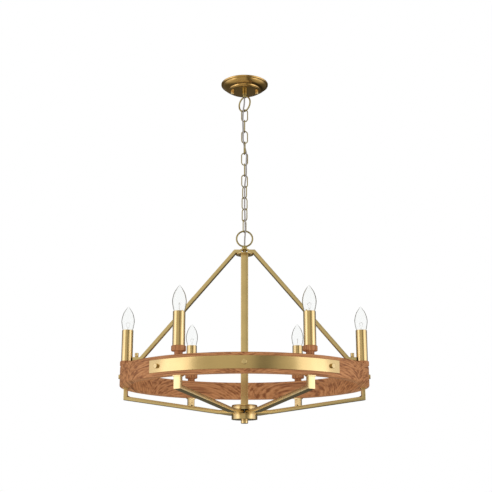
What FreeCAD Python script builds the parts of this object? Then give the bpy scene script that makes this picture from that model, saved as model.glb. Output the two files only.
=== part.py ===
import FreeCAD, Part

import math
import os

import Sketcher

# A six-light wagon wheel chandelier: a wooden wheel rim hung on a chain from a round ceiling canopy.
# Millimetres, +Z up. The origin is on the hanging axis in the plane of the ceiling, and the fixture
# hangs below it. +X points along the two straps and -Y points to the front.

SIZES = [
    # mounting strips and canopy
    ("strip_thick", 1.6, "thickness of the two mounting strips"),
    ("strip_width", 16, "width of the two mounting strips"),
    ("box_strip_end", 5, "strip left beyond each slot"),
    ("stud_strip_end", 9, "strip left beyond each stud"),
    ("slot_spacing", 79, "distance between the middles of the two slots"),
    ("slot_length", 15, "end to end length of each slot"),
    ("slot_width", 5, "width of each slot"),
    ("rivet_radius", 5, "tubular rivet that joins the strips"),
    ("rivet_wall", 1.5, "wall of that rivet"),
    ("rivet_flange_reach", 2.5, "width of the rivet's flange"),
    ("rivet_flange_thick", 1, "thickness of the rivet's flange"),
    ("ground_place", 20, "distance of the ground screw from the axis"),
    ("ground_radius", 1.8, "shank radius of the ground screw"),
    ("ground_head", 3.4, "head radius of the ground screw"),
    ("ground_head_height", 2.5, "head height of the ground screw"),
    ("ground_tip", 1, "length of the ground screw beyond its strip"),
    ("stud_spacing", 70, "distance between the two canopy studs"),
    ("stud_radius", 2.05, "radius of a canopy stud"),
    ("cap_nut_radius", 4.2, "knurled nut under the canopy"),
    ("cap_nut_height", 8, "height of that nut"),
    ("cap_nut_end", 1.5, "end of the stud to the end of its nut"),
    ("canopy_radius", 67.5, "radius of the canopy at its rim"),
    ("canopy_depth", 22.5, "ceiling to the flat underside of the canopy"),
    ("canopy_wall", 1, "sheet thickness of the canopy"),
    ("canopy_margin", 6, "stud to the edge of the flat underside"),
    ("canopy_shoulder", 3, "rounding between the flat underside and the step ring"),
    ("canopy_step_width", 4.5, "edge of the flat underside to the outside of the step ring"),
    ("step_flat", 2, "width of the step ring's flat face"),
    ("step_rise", 2.5, "height of that face above the flat underside"),
    ("step_height", 3, "height of the step ring's side"),
    ("dome_rounding", 24, "curve of the dome between the step ring and the rim"),
    ("lip_width", 4, "width of the rolled rim"),
    ("lip_height", 5.5, "height of the rolled rim"),
    ("lip_rounding", 3.6, "curve of the rolled rim"),
    ("lip_foot", 2, "height of the rim's straight edge at the ceiling"),
    # loops, chain and cord
    ("loop_radius", 22, "loop, axis to the middle of its wire"),
    ("loop_wire", 2.25, "radius of the loop's wire"),
    ("collar_radius", 7.2, "collar below the canopy and above the frame"),
    ("canopy_collar", 18, "length of the collar under the canopy"),
    ("frame_collar", 10, "length of the collar on the frame"),
    ("collar_overlap", 4, "depth of the loop's wire inside its collar"),
    ("nipple_radius", 4.75, "threaded end of each collar"),
    ("nipple_rise", 9, "length of the upper threaded end"),
    ("nut_radius", 9, "nut inside the canopy, across its corners"),
    ("nut_height", 4.5, "height of that nut"),
    ("wireway", 2.3, "radius of the hole for the cord"),
    ("stem_short", 8, "plug's foot to the end of the frame's threaded end"),
    ("link_count", 11, "links in the chain"),
    ("link_length", 39.34, "outside length of a link"),
    ("link_width", 20, "outside width of a link"),
    ("link_wire", 1.5, "radius of a link's wire"),
    ("link_gap", 0.3, "gap where one wire hangs on the next"),
    ("cord_radius", 2, "radius of the supply cord"),
    ("cord_head", 6, "length of cord above the upper threaded end"),
    ("cord_tail", 3, "length of cord below the arms in the hub"),
    # frame top
    ("fit", 0.1, "radial clearance of a screw or pin in its hole"),
    ("clearance", 0.3, "clearance between pieces that only pass each other"),
    ("bar_wide", 20, "width of the flat rectangular tube"),
    ("bar_deep", 10, "depth of the flat rectangular tube"),
    ("bar_wall", 1.2, "wall of the flat rectangular tube"),
    ("washer_radius", 12, "washer between the collar and the straps"),
    ("washer_thick", 2.4, "thickness of that washer"),
    ("plate_radius", 24.3, "round plate under the straps"),
    ("plate_thick", 3.5, "thickness of that plate"),
    ("plate_edge", 2, "rounding of that plate's upper edge"),
    ("plate_rise", 340.5, "middle of the wheel to the underside of the plate"),
    ("strap_inner", 8, "axis to the inner end of a strap"),
    ("strap_overhang", 1.7, "edge of the plate to the upper bend of a strap"),
    ("screw_radius", 2, "shank radius of the strap and rim screws"),
    ("screw_head", 3.6, "head radius of a strap screw"),
    ("screw_head_height", 2.4, "head height of a strap screw"),
    ("foot_screw_inset", 11.5, "inside of the rim to the knob on a strap's foot"),
    ("foot_knob_radius", 4.9, "knob on a strap's foot"),
    ("foot_knob_height", 12, "height of that knob"),
    ("foot_knob_tip", 1.5, "length of the knob's shank beyond the bracket"),
    ("spacer_radius", 5.5, "spacer under a strap's foot"),
    ("bracket_thick", 3, "thickness of the bracket inside the rim"),
    ("bracket_width", 16, "width of that bracket"),
    ("bracket_leg", 34, "length of its leg down the rim"),
    ("bracket_margin", 2, "spacer to the end of its shelf"),
    ("wood_screw_radius", 1.6, "shank radius of a bracket screw"),
    ("wood_screw_head", 3.2, "head radius of a bracket screw"),
    ("wood_screw_head_height", 2, "head height of a bracket screw"),
    ("wood_screw_gap", 0.65, "tip of a bracket screw to the candle's stem"),
    ("wood_screw_pitch", 16, "distance between a bracket's two screws"),
    ("tube_wide", 20, "width of the square centre tube"),
    ("tube_wall", 1.5, "wall of the square centre tube"),
    ("plug_length", 22, "length of the plugs in the centre tube"),
    # hub
    ("hub_depth", 87.8, "middle of the wheel down to the middle of the hub"),
    ("hub_radius", 34.2, "radius of the hub's two shells"),
    ("hub_wall", 1.5, "wall of the hub's two shells"),
    ("hub_cap_height", 13, "height of the upper shell"),
    ("hub_cup_height", 15, "height of the lower shell"),
    ("hub_edge", 3, "rounding of the outer edge of each shell"),
    ("core_radius", 10, "post between the two shells"),
    ("rod_radius", 2.5, "threaded rod through the hub"),
    ("rod_short", 2, "end of the rod to the top of its plug"),
    ("wire_hole_web", 0.5, "metal left on both sides of the cord's hole in the lower plug"),
    ("finial_radius", 10, "finial nut under the hub"),
    ("finial_height", 10, "height of the finial"),
    ("finial_edge", 1.5, "rounding of the finial's lower edge"),
    ("arm_gap", 2.68, "inner ends of the arms beyond where their corners would meet"),
    ("arm_knee", 70, "axis to the bend near the hub"),
    ("arm_depth", 52, "middle of the wheel down to the arm's corner"),
    ("flange_wide", 24, "flange on top of an arm, across"),
    ("flange_deep", 14, "flange on top of an arm, outwards"),
    ("flange_thick", 3, "thickness of that flange"),
    # wheel
    ("wheel_radius", 330, "outside radius of the wooden wheel"),
    ("rim_width", 29, "width of the wooden rim"),
    ("wheel_height", 48.3, "height of the wooden rim"),
    ("rim_edge", 0.8, "eased edge of the rim"),
    ("dowel_radius", 4, "dowels that join the segments"),
    ("dowel_length", 36, "length of a dowel"),
    ("dowel_pitch", 24, "height between the two dowels of a joint"),
    ("band_height", 31, "height of a brass band"),
    ("band_thick", 2, "thickness of a brass band"),
    ("band_angle", 88, "arc covered by a brass band"),
    ("band_end_angle", 4.5, "angle from a band's end to its end screw"),
    ("rim_knob_radius", 6, "knob head of a rim screw"),
    ("rim_knob_height", 6, "height of that head"),
    ("rim_screw_gap", 1.65, "tip of a rim screw to a candle's stem"),
    ("side_knob_rise", 5, "height of the side screws over the wheel's middle"),
    # candles
    ("candle_count", 6, "candles on the wheel"),
    ("stem_radius", 4.85, "threaded stem of a candle"),
    ("stem_bore", 2.4, "bore of that stem"),
    ("stem_rise", 20, "length of stem above the cup"),
    ("stem_foot", 2, "length of stem below the arm's flange"),
    ("cup_neck_radius", 10.3, "neck of the wooden cup"),
    ("cup_neck_height", 9, "height of the neck"),
    ("cup_margin", 2.8, "sleeve to the edge of the wooden cup"),
    ("cup_height", 13.3, "height of the disc"),
    ("cup_edge", 1.5, "eased edges of the disc"),
    ("sleeve_radius", 15.2, "outside radius of the candle sleeve"),
    ("sleeve_wall", 1, "wall of the sleeve"),
    ("sleeve_length", 83.8, "length of the sleeve"),
    ("socket_radius", 11.5, "lamp holder inside the sleeve"),
    ("socket_length", 36, "length of the wide part of the lamp holder"),
    ("socket_neck", 7.5, "radius of the lamp holder's neck"),
    ("socket_grip", 8, "length of stem held in the neck"),
    ("socket_recess", 12, "sleeve's top down to the lamp holder's top"),
    ("lamp_wire", 1.5, "radius of a lamp's wire"),
    ("lamp_wire_tail", 4, "length of a lamp's wire beyond its arm in the hub"),
    ("lamp_wire_short", 2, "lamp holder's floor down to the end of its wire"),
    ("base_radius", 5.95, "radius of a bulb's screw base"),
    ("base_length", 24, "length of the screw base"),
    ("button_radius", 3, "contact button under the base"),
    ("button_height", 2, "height of that button"),
    ("filament_radius", 0.9, "radius of the filament's glass stem"),
    ("filament_rise", 30, "height of that stem above the base"),
    ("glass_lap", 0.45, "glass beyond the base where they meet"),
    ("glass_gap", 1.2, "glass to the inside of the sleeve at its top"),
    ("glass_belly", 17.5, "largest radius of the glass"),
    ("glass_belly_rise", 40, "base to the widest place of the glass"),
    ("glass_length", 77, "base to the tip of the glass"),
    ("glass_wall", 0.8, "wall of the glass"),
]

# Places worked out from the sizes, all measured from the ceiling.
PLACES = [
    ("box_strip_length", "slot_spacing + slot_length + 2 * box_strip_end", "strip on the ceiling box"),
    ("stud_strip_length", "stud_spacing + 2 * stud_strip_end", "strip with the two studs"),
    ("rivet_bore", "rivet_radius - rivet_wall", "bore of the rivet"),
    ("rivet_flange", "rivet_radius + rivet_flange_reach", "radius of the rivet's flange"),
    ("stud_reach", "cap_nut_height - cap_nut_end", "length of stud below the canopy"),
    ("canopy_plate", "stud_spacing / 2 + canopy_margin", "radius of the flat underside"),
    ("canopy_step", "canopy_plate + canopy_step_width", "radius of the step ring"),
    ("canopy_z", "-canopy_depth", "flat underside of the canopy"),
    ("loop_z", "canopy_z - canopy_collar + collar_overlap - loop_radius - loop_wire", "upper loop"),
    ("bow_reach", "loop_wire + link_gap + link_wire", "wire to wire between a loop and a link"),
    ("link_pitch", "link_length - 4 * link_wire - link_gap", "link to link"),
    ("first_link_z", "loop_z - loop_radius + bow_reach + link_wire - link_length / 2", "first link"),
    ("last_link_z", "first_link_z - (link_count - 1) * link_pitch", "last link"),
    ("frame_loop_z", "last_link_z - link_length / 2 + link_wire + bow_reach - loop_radius", "lower loop"),
    ("collar_z", "frame_loop_z - loop_radius - loop_wire + collar_overlap - frame_collar", "collar base"),
    ("strap_top_z", "collar_z - washer_thick", "top of the straps"),
    ("plate_z", "strap_top_z - bar_deep - plate_thick", "underside of the top plate"),
    ("wheel_z", "plate_z - plate_rise", "middle of the wheel"),
    ("rim_inner", "wheel_radius - rim_width", "inner face of the rim"),
    ("candle_circle", "wheel_radius - rim_width / 2", "axis to the middle of a candle"),
    ("felloe_count", "candle_count", "segments in the rim, joined midway between the candles"),
    ("wood_screw_reach", "rim_width / 2 - stem_radius - wood_screw_gap", "bracket screw in the wood"),
    ("rim_screw_reach", "rim_width / 2 - stem_radius - rim_screw_gap", "rim screw in the wood"),
    ("band_screw_angle", "band_angle / 2 - band_end_angle", "band's middle to its end screws"),
    ("strap_shoulder", "plate_radius + strap_overhang", "axis to the upper bend of a strap"),
    ("strap_screw_place", "(strap_inner + strap_shoulder) / 2", "axis to the screw in a strap's top"),
    ("strap_knee", "rim_inner - 2 * foot_screw_inset", "axis to the lower bend of a strap"),
    ("foot_screw_place", "rim_inner - foot_screw_inset", "axis to the knob on a strap's foot"),
    ("bracket_reach", "foot_screw_inset + spacer_radius + bracket_margin", "length of a bracket's shelf"),
    ("cup_radius", "sleeve_radius + cup_margin", "disc of the wooden cup"),
    ("glass_neck", "base_radius + glass_lap", "radius of the glass where it meets the base"),
    ("glass_mouth", "sleeve_radius - sleeve_wall - glass_gap", "radius of the glass at the sleeve's top"),
    ("plug_half", "tube_wide / 2 - tube_wall - fit", "half the width of a plug"),
    ("wire_hole_place", "(rod_radius + fit + plug_half) / 2", "axis to the cord's hole beside the rod"),
    ("wire_hole", "(plug_half - rod_radius - fit) / 2 - wire_hole_web", "radius of the cord's hole"),
    ("arm_inner", "bar_wide / 2 / tan(180 / candle_count) + arm_gap", "axis to an arm's inner end"),
    ("rim_top_z", "wheel_z + wheel_height / 2", "top of the rim"),
    ("rim_base_z", "wheel_z - wheel_height / 2", "underside of the rim"),
    ("cup_disc_z", "rim_top_z + cup_neck_height", "underside of the cup's disc"),
    ("cup_top_z", "cup_disc_z + cup_height", "top of the cup"),
    ("sleeve_top_z", "cup_top_z + sleeve_length", "top of the sleeve"),
    ("socket_top_z", "sleeve_top_z - socket_recess", "top of the lamp holder"),
    ("stem_top_z", "cup_top_z + stem_rise", "top of the stem"),
    ("stem_base_z", "rim_base_z - flange_thick - stem_foot", "foot of the stem"),
    ("foot_z", "cup_top_z + clearance + bar_deep / 2", "middle of a strap's foot"),
    ("foot_top_z", "foot_z + bar_deep / 2", "top of a strap's foot"),
    ("foot_end", "candle_circle - sleeve_radius - 3 * clearance", "outer end of a strap's foot"),
    ("shelf_z", "rim_top_z + clearance", "underside of the bracket's shelf"),
    ("shelf_top_z", "shelf_z + bracket_thick", "top of the bracket's shelf"),
    ("spacer_length", "foot_z - bar_deep / 2 - shelf_top_z", "shelf to the underside of a strap's foot"),
    ("bracket_sag", "bracket_width ^ 2 / (8 * rim_inner) + fit / 4", "rim's curve behind a bracket"),
    ("bracket_face", "rim_inner - bracket_sag", "axis to the back of a bracket"),
    ("hub_z", "wheel_z - hub_depth", "middle of the hub"),
    ("cap_z", "hub_z + bar_deep / 2 + clearance / 2", "lower edge of the hub's cap"),
    ("cap_top_z", "cap_z + hub_cap_height", "top of the hub's cap"),
    ("cup_edge_z", "hub_z - bar_deep / 2 - clearance / 2", "upper edge of the hub's cup"),
    ("cup_base_z", "cup_edge_z - hub_cup_height", "underside of the hub's cup"),
    ("knee_z", "wheel_z - arm_depth", "middle of an arm's corner"),
    ("socket_floor_z", "socket_top_z - base_length - clearance", "floor under a bulb's base"),
]

# Turn of each link about the vertical, as the photographed chain hangs, and of the two loops.
LINK_TURNS = [0, 92, 12, 100, 2, 92, 20, 130, 35, 141, 62]
CANOPY_LOOP_TURN = -45
FRAME_LOOP_TURN = 0

# Where the cord passes each contact of the chain, sideways from the axis, from the top down.
CORD_BESIDE = [
    (-4.0, -5.1),
    (-5.2, -3.9),
    (-4.0, -6.1),
    (-4.6, -5.0),
    (6.4, -3.6),
    (4.3, -5.8),
    (5.1, -4.2),
    (-0.3, -7.5),
    (0.3, -6.8),
    (0.1, -6.6),
    (1.3, -6.6),
    (2.5, -6.0),
]

# The slack of the cord inside the centre tube, sideways from the axis, from the top down.
CORD_IN_TUBE = [(2.2, 1.4), (-1.8, 2.4), (1.6, -1.5), (-2.1, 0.8), (1.5, 2.6), (-0.8, 4.2)]

UP = FreeCAD.Vector(0, 0, 1)

# Straight cord left beyond a collar or plug before its first bend.
ABOVE_BEND = 16.5

# Bend of a lamp's wire, in radii of the wire.
WIRE_BEND = 6

# Angle of each band's middle about the axis.
BAND_MIDDLES = {"band_front": 270, "band_back": 90}

# How far a drill runs past the face that it leaves by.
PAST = "1"

# Outline of the bulb: one place between the sleeve's top and the belly, as shares of the way
# outwards from the neck and of the way up. Then the places between the belly and the tip, as shares
# of the belly's radius and of the way up.
FLARE = (0.88, 0.46)
TAPER = [(0.77, 0.46), (0.42, 0.76), (0.20, 0.90)]

doc = FreeCAD.newDocument("wagon_wheel_chandelier")
sheet = doc.addObject("Spreadsheet::Sheet", "Sizes")
pieces = []


def fill_sheet():
    """Writes the driving sizes, then the places worked out from them."""
    row = 1
    for alias, number, note in SIZES:
        sheet.set(f"A{row}", alias)
        sheet.set(f"B{row}", str(number))
        sheet.set(f"C{row}", note)
        sheet.setAlias(f"B{row}", alias)
        row += 1
    for alias, formula, note in PLACES:
        sheet.set(f"A{row}", alias)
        sheet.set(f"B{row}", "=" + formula)
        sheet.set(f"C{row}", note)
        sheet.setAlias(f"B{row}", alias)
        row += 1
    doc.recompute()


def number(expression):
    """Value of an expression in the sheet's names."""
    return float(sheet.evalExpression(str(expression)))


def bound(expression):
    """The same expression as seen from another object: each name of the sheet gets its owner."""
    names = {alias for alias, _, _ in SIZES + PLACES}
    words = []
    word = ""
    for letter in str(expression) + " ":
        if letter.isalnum() or letter == "_":
            word += letter
        else:
            words.append("Sizes." + word if word in names else word)
            words.append(letter)
            word = ""
    return "".join(words).strip()


def bind(thing, **properties):
    """Binds properties of an object to expressions; an underscore pair stands for a dot."""
    for name, expression in properties.items():
        thing.setExpression(name.replace("__", "."), bound(expression))


def keep(thing, label):
    """Names a finished piece and lists it for writing out."""
    thing.Label = label
    pieces.append(thing)
    return thing


def circle_around(expression_x, expression_y, angle):
    """Expressions for a point turned by an angle about the axis."""
    return (
        f"({expression_x}) * cos({angle}) - ({expression_y}) * sin({angle})",
        f"({expression_x}) * sin({angle}) + ({expression_y}) * cos({angle})",
    )


# Sketches and bodies


def origin_part(body, role):
    return next(part for part in body.Origin.OriginFeatures if part.Role == role)


def new_sketch(body, plane, offset=None):
    """A sketch on one of the body's origin planes, moved along the plane's normal by an expression."""
    sketch = body.newObject("Sketcher::SketchObject", "Sketch")
    sketch.AttachmentSupport = [(origin_part(body, plane), "")]
    sketch.MapMode = "FlatFace"
    if offset is not None:
        bind(sketch, AttachmentOffset__Base__z=offset)
    return sketch


def arc_between(start, end, radius, side):
    """Arc of a given radius from start to end, bulging to the left (side 1) or right (side -1).
    Its own direction is always anticlockwise, so it may run from end to start."""
    chord = end - start
    half = chord.Length / 2
    depth = radius - math.sqrt(max(radius * radius - half * half, 0))
    normal = FreeCAD.Vector(-chord.y, chord.x, 0).normalize()
    middle = (start + end) * 0.5 + normal * (side * depth)
    return Part.Arc(end, middle, start) if side > 0 else Part.Arc(start, middle, end)


def outline(sketch, points, closed=True):
    """Draws an outline whose corners, and the radii of its arcs, are bound to the sheet. A corner is
    (x, y), or (x, y, radius, side) where the edge that leads to it is an arc."""
    places = [FreeCAD.Vector(number(p[0]), number(p[1]), 0) for p in points]
    count = len(points)
    first = sketch.GeometryCount
    edges = count if closed else count - 1
    starts = []
    for i in range(edges):
        start, end, goal = places[i], places[(i + 1) % count], points[(i + 1) % count]
        if len(goal) == 2:
            sketch.addGeometry(Part.LineSegment(start, end))
            starts.append((first + i, 1, 2))
            continue
        sketch.addGeometry(arc_between(start, end, number(goal[2]), goal[3]))
        arc = sketch.Geometry[first + i]
        forward = arc.StartPoint.distanceToPoint(start) < arc.EndPoint.distanceToPoint(start)
        starts.append((first + i, 1, 2) if forward else (first + i, 2, 1))
    for i in range(edges if closed else edges - 1):
        here, after = starts[i], starts[(i + 1) % edges]
        sketch.addConstraint(Sketcher.Constraint("Coincident", here[0], here[2], after[0], after[1]))
    for i in range(count):
        edge, vertex = (starts[i][0], starts[i][1]) if i < edges else (starts[-1][0], starts[-1][2])
        for kind, value, expression in (
            ("DistanceX", places[i].x, points[i][0]),
            ("DistanceY", places[i].y, points[i][1]),
        ):
            index = sketch.addConstraint(Sketcher.Constraint(kind, -1, 1, edge, vertex, value))
            sketch.setExpression(f"Constraints[{index}]", bound(expression))
    for i in range(edges):
        goal = points[(i + 1) % count]
        if len(goal) == 4:
            edge = starts[i][0]
            rule = Sketcher.Constraint("Radius", edge, number(goal[2]))
            index = sketch.addConstraint(rule)
            sketch.setExpression(f"Constraints[{index}]", bound(goal[2]))
    return sketch


def axis_line(sketch, place):
    """A construction line along the sketch's height at a distance from its origin."""
    x = number(place)
    line = Part.LineSegment(FreeCAD.Vector(x, 0, 0), FreeCAD.Vector(x, 10, 0))
    index = sketch.addGeometry(line, True)
    sketch.addConstraint(Sketcher.Constraint("Vertical", index))
    rule = sketch.addConstraint(Sketcher.Constraint("DistanceX", -1, 1, index, 1, x))
    sketch.setExpression(f"Constraints[{rule}]", bound(place))
    sketch.addConstraint(Sketcher.Constraint("DistanceY", -1, 1, index, 1, 0))
    sketch.addConstraint(Sketcher.Constraint("DistanceY", index, 1, index, 2, 10))


def round_hole(sketch, x, y, radius):
    """A circle whose centre and radius are bound to the sheet."""
    centre = FreeCAD.Vector(number(x), number(y), 0)
    index = sketch.addGeometry(Part.Circle(centre, UP, number(radius)))
    for kind, value, expression in (("DistanceX", centre.x, x), ("DistanceY", centre.y, y)):
        rule = sketch.addConstraint(Sketcher.Constraint(kind, -1, 1, index, 3, value))
        sketch.setExpression(f"Constraints[{rule}]", bound(expression))
    rule = sketch.addConstraint(Sketcher.Constraint("Radius", index, number(radius)))
    sketch.setExpression(f"Constraints[{rule}]", bound(radius))


def slot_outline(sketch, middle, length, width):
    """A round-ended slot along the sketch's height, its middle on the centre line."""
    half = number(width) / 2
    ends = []
    for side in (-1, 1):
        level = f"{middle} + {side} * ({length} - {width}) / 2"
        centre = FreeCAD.Vector(0, number(level), 0)
        sweep = (math.pi, 2 * math.pi) if side < 0 else (0, math.pi)
        index = sketch.addGeometry(Part.ArcOfCircle(Part.Circle(centre, UP, half), *sweep))
        ends.append(index)
        rules = (("DistanceX", (-1, 1, index, 3), "0"), ("DistanceY", (-1, 1, index, 3), level))
        for kind, where, expression in rules:
            rule = sketch.addConstraint(Sketcher.Constraint(kind, *where, number(expression)))
            sketch.setExpression(f"Constraints[{rule}]", bound(expression))
    low, high = ends
    for start, end in (((low, 2), (high, 1)), ((high, 2), (low, 1))):
        first = sketch.Geometry[start[0]].EndPoint
        last = sketch.Geometry[end[0]].StartPoint
        side = sketch.addGeometry(Part.LineSegment(first, last))
        sketch.addConstraint(Sketcher.Constraint("Tangent", start[0], start[1], side, 1))
        sketch.addConstraint(Sketcher.Constraint("Tangent", side, 2, end[0], end[1]))
    rule = sketch.addConstraint(Sketcher.Constraint("Radius", low, half))
    sketch.setExpression(f"Constraints[{rule}]", bound(f"{width} / 2"))


def new_body(name):
    body = doc.addObject("PartDesign::Body", name)
    body.AllowCompound = True
    return body


def turned(body, points, at=None, angle=None, cut=False):
    """Turns an outline of (radius, height) points about the axis, or about a line beside it."""
    sketch = new_sketch(body, "XZ_Plane")
    if at is None:
        outline(sketch, points)
        axis = "V_Axis"
    else:
        outline(sketch, [(f"{at} + {p[0]}", *p[1:]) for p in points])
        axis_line(sketch, at)
        axis = "Axis0"
    turn = body.newObject("PartDesign::Groove" if cut else "PartDesign::Revolution", "Turn")
    turn.Profile = sketch
    turn.ReferenceAxis = (sketch, [axis])
    if angle is None:
        turn.Angle = 360
    else:
        turn.Midplane = True
        bind(turn, Angle=angle)
    return turn


def block(body, x, y, wide, deep, base, height):
    """A rectangular block, its middle at x, y and its foot at a height."""
    sketch = new_sketch(body, "XY_Plane", base)
    corners = [(-1, -1), (1, -1), (1, 1), (-1, 1)]
    outline(sketch, [(f"{x} + {i} * ({wide}) / 2", f"{y} + {j} * ({deep}) / 2") for i, j in corners])
    pad = body.newObject("PartDesign::Pad", "Block")
    pad.Profile = sketch
    bind(pad, Length=height)
    return pad


def drilled(body, holes, top, depth):
    """Round holes (x, y, radius) drilled downwards from a height."""
    sketch = new_sketch(body, "XY_Plane", top)
    for hole in holes:
        round_hole(sketch, *hole)
    pocket = body.newObject("PartDesign::Pocket", "Holes")
    pocket.Profile = sketch
    bind(pocket, Length=depth)
    return pocket


def around(body, features, count):
    """Repeats features evenly about the axis."""
    pattern = body.newObject("PartDesign::PolarPattern", "Around")
    pattern.Originals = features
    pattern.Axis = (origin_part(body, "Z_Axis"), [""])
    pattern.Angle = 360
    bind(pattern, Occurrences=count)
    body.Tip = pattern
    return pattern


def bent_tube(body, path_points, start):
    """The flat rectangular tube along a path of (distance out, height) points, with mitred bends."""
    path = outline(new_sketch(body, "XZ_Plane"), path_points, closed=False)
    profile = new_sketch(body, "YZ_Plane", start)
    level = path_points[0][1]
    for shrink in ("0", "bar_wall"):
        wide = f"(bar_wide / 2 - {shrink})"
        deep = f"(bar_deep / 2 - {shrink})"
        signs = [(-1, -1), (1, -1), (1, 1), (-1, 1)]
        outline(profile, [(f"{i} * {wide}", f"{level} + {j} * {deep}") for i, j in signs])
    pipe = body.newObject("PartDesign::AdditivePipe", "Tube")
    pipe.Profile = profile
    pipe.Spine = (path, [])
    pipe.Transition = "Right corner"
    return pipe


# Simple solids


def cylinder(name, radius, height, base, x="0", y="0"):
    """An upright cylinder."""
    solid = doc.addObject("Part::Cylinder", name)
    bind(solid, Radius=radius, Height=height)
    bind(solid, Placement__Base__x=x, Placement__Base__y=y, Placement__Base__z=base)
    return solid


def radial_cylinder(name, radius, length, start, height, angle):
    """A cylinder that lies along a radius of the wheel, from a distance outwards."""
    solid = doc.addObject("Part::Cylinder", name)
    lay = FreeCAD.Rotation(FreeCAD.Vector(0, 1, 0), 90)
    solid.Placement.Rotation = FreeCAD.Rotation(UP, number(angle)).multiply(lay)
    x, y = circle_around(start, "0", angle)
    bind(solid, Radius=radius, Height=length)
    bind(solid, Placement__Base__x=x, Placement__Base__y=y, Placement__Base__z=height)
    return solid


def fused(name, shapes):
    joined = doc.addObject("Part::MultiFuse", name)
    joined.Shapes = shapes
    joined.Refine = True
    return joined


def cut(name, base, tool):
    result = doc.addObject("Part::Cut", name)
    result.Base = base
    result.Tool = tool
    return result


def group(name, members):
    """Separate solids kept as one piece of the list, such as a set of screws."""
    compound = doc.addObject("Part::Compound", name)
    compound.Links = members
    return compound


def six_sided(name, corner_radius, height, base):
    """A hexagonal nut blank."""
    prism = doc.addObject("Part::Prism", name)
    prism.Polygon = 6
    bind(prism, Circumradius=corner_radius, Height=height, Placement__Base__z=base)
    return prism


def rounded_path(points, largest=None):
    """Straight runs joined by tangent arcs. Each arc's tangents take 0.45 of the shorter run, or
    less where a largest radius is given. Gives the wire and the radii."""
    edges = []
    radii = []
    here = points[0]
    for before, corner, after in zip(points, points[1:], points[2:]):
        into = (corner - before).normalize()
        out = (after - corner).normalize()
        half_turn = into.getAngle(out) / 2
        room = 0.45 * min((corner - before).Length, (after - corner).Length)
        radius = room / math.tan(half_turn)
        if largest is not None:
            radius = min(radius, largest)
        room = radius * math.tan(half_turn)
        start, end = corner - into * room, corner + out * room
        inward = (out - into).normalize()
        middle = corner + inward * (radius / math.cos(half_turn) - radius)
        edges.append(Part.LineSegment(here, start).toShape())
        edges.append(Part.Arc(start, middle, end).toShape())
        radii.append(radius)
        here = end
    edges.append(Part.LineSegment(here, points[-1]).toShape())
    return Part.Wire(edges), radii


def swept_round(path, radius):
    """A round section along a path of lines and tangent arcs."""
    start = path.OrderedEdges[0]
    ring = Part.Circle(start.valueAt(start.FirstParameter), start.tangentAt(start.FirstParameter), radius)
    return path.makePipeShell([Part.Wire([ring.toShape()])], True, False)


def checked_tube(path, radius, name, radii):
    """Sweeps a tube, prints its radii and compares its volume with its section times its length."""
    solid = swept_round(path, radius)
    plain = math.pi * radius * radius * path.Length
    print(name, "radii", [round(r, 1) for r in radii], "volume ratio", round(solid.Volume / plain, 4))
    return solid


# Ceiling end


def make_mounting_strips():
    box_strip = new_body("box_strip")
    block(box_strip, "0", "0", "strip_width", "box_strip_length", "-strip_thick", "strip_thick")
    sketch = new_sketch(box_strip, "XY_Plane", "0")
    for side in (-1, 1):
        slot_outline(sketch, f"{side} * slot_spacing / 2", "slot_length", "slot_width")
    round_hole(sketch, "0", "0", "rivet_radius + fit")
    pocket = box_strip.newObject("PartDesign::Pocket", "Slots")
    pocket.Profile = sketch
    bind(pocket, Length="strip_thick")
    keep(box_strip, "box_strip")

    stud_strip = new_body("stud_strip")
    block(stud_strip, "0", "0", "stud_strip_length", "strip_width", "-2 * strip_thick", "strip_thick")
    holes = [("0", "0", "rivet_radius + fit"), ("-ground_place", "0", "ground_radius + fit")]
    holes += [(f"{side} * stud_spacing / 2", "0", "stud_radius + fit") for side in (-1, 1)]
    drilled(stud_strip, holes, "-strip_thick", "strip_thick")
    keep(stud_strip, "stud_strip")

    rivet = new_body("strip_rivet")
    flange = "-2 * strip_thick"
    turned(
        rivet,
        [
            ("rivet_bore", f"{flange} - rivet_flange_thick"),
            ("rivet_flange", f"{flange} - rivet_flange_thick"),
            ("rivet_flange", flange),
            ("rivet_radius", flange),
            ("rivet_radius", "0"),
            ("rivet_bore", "0"),
        ],
    )
    keep(rivet, "strip_rivet")

    under = "-2 * strip_thick"
    shank = cylinder("ground_shank", "ground_radius", "strip_thick + ground_tip", under, "-ground_place")
    height = "ground_head_height"
    head = six_sided("ground_head_blank", "ground_head", height, f"{under} - {height}")
    bind(head, Placement__Base__x="-ground_place")
    keep(fused("ground_screw", [shank, head]), "ground_screw")


def make_canopy_fixings():
    studs = []
    nuts = []
    for side in (-1, 1):
        x = f"{side} * stud_spacing / 2"
        base = "canopy_z - stud_reach"
        studs.append(cylinder("stud", "stud_radius", "canopy_depth + stud_reach - strip_thick", base, x))
        blank = cylinder("nut_blank", "cap_nut_radius", "cap_nut_height", "canopy_z - cap_nut_height", x)
        thread = cylinder("nut_thread", "stud_radius + fit", "stud_reach + fit", f"{base} - fit", x)
        nuts.append(cut("nut", blank, thread))
    keep(group("canopy_studs", studs), "canopy_studs")
    keep(group("canopy_nuts", nuts), "canopy_nuts")


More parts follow.
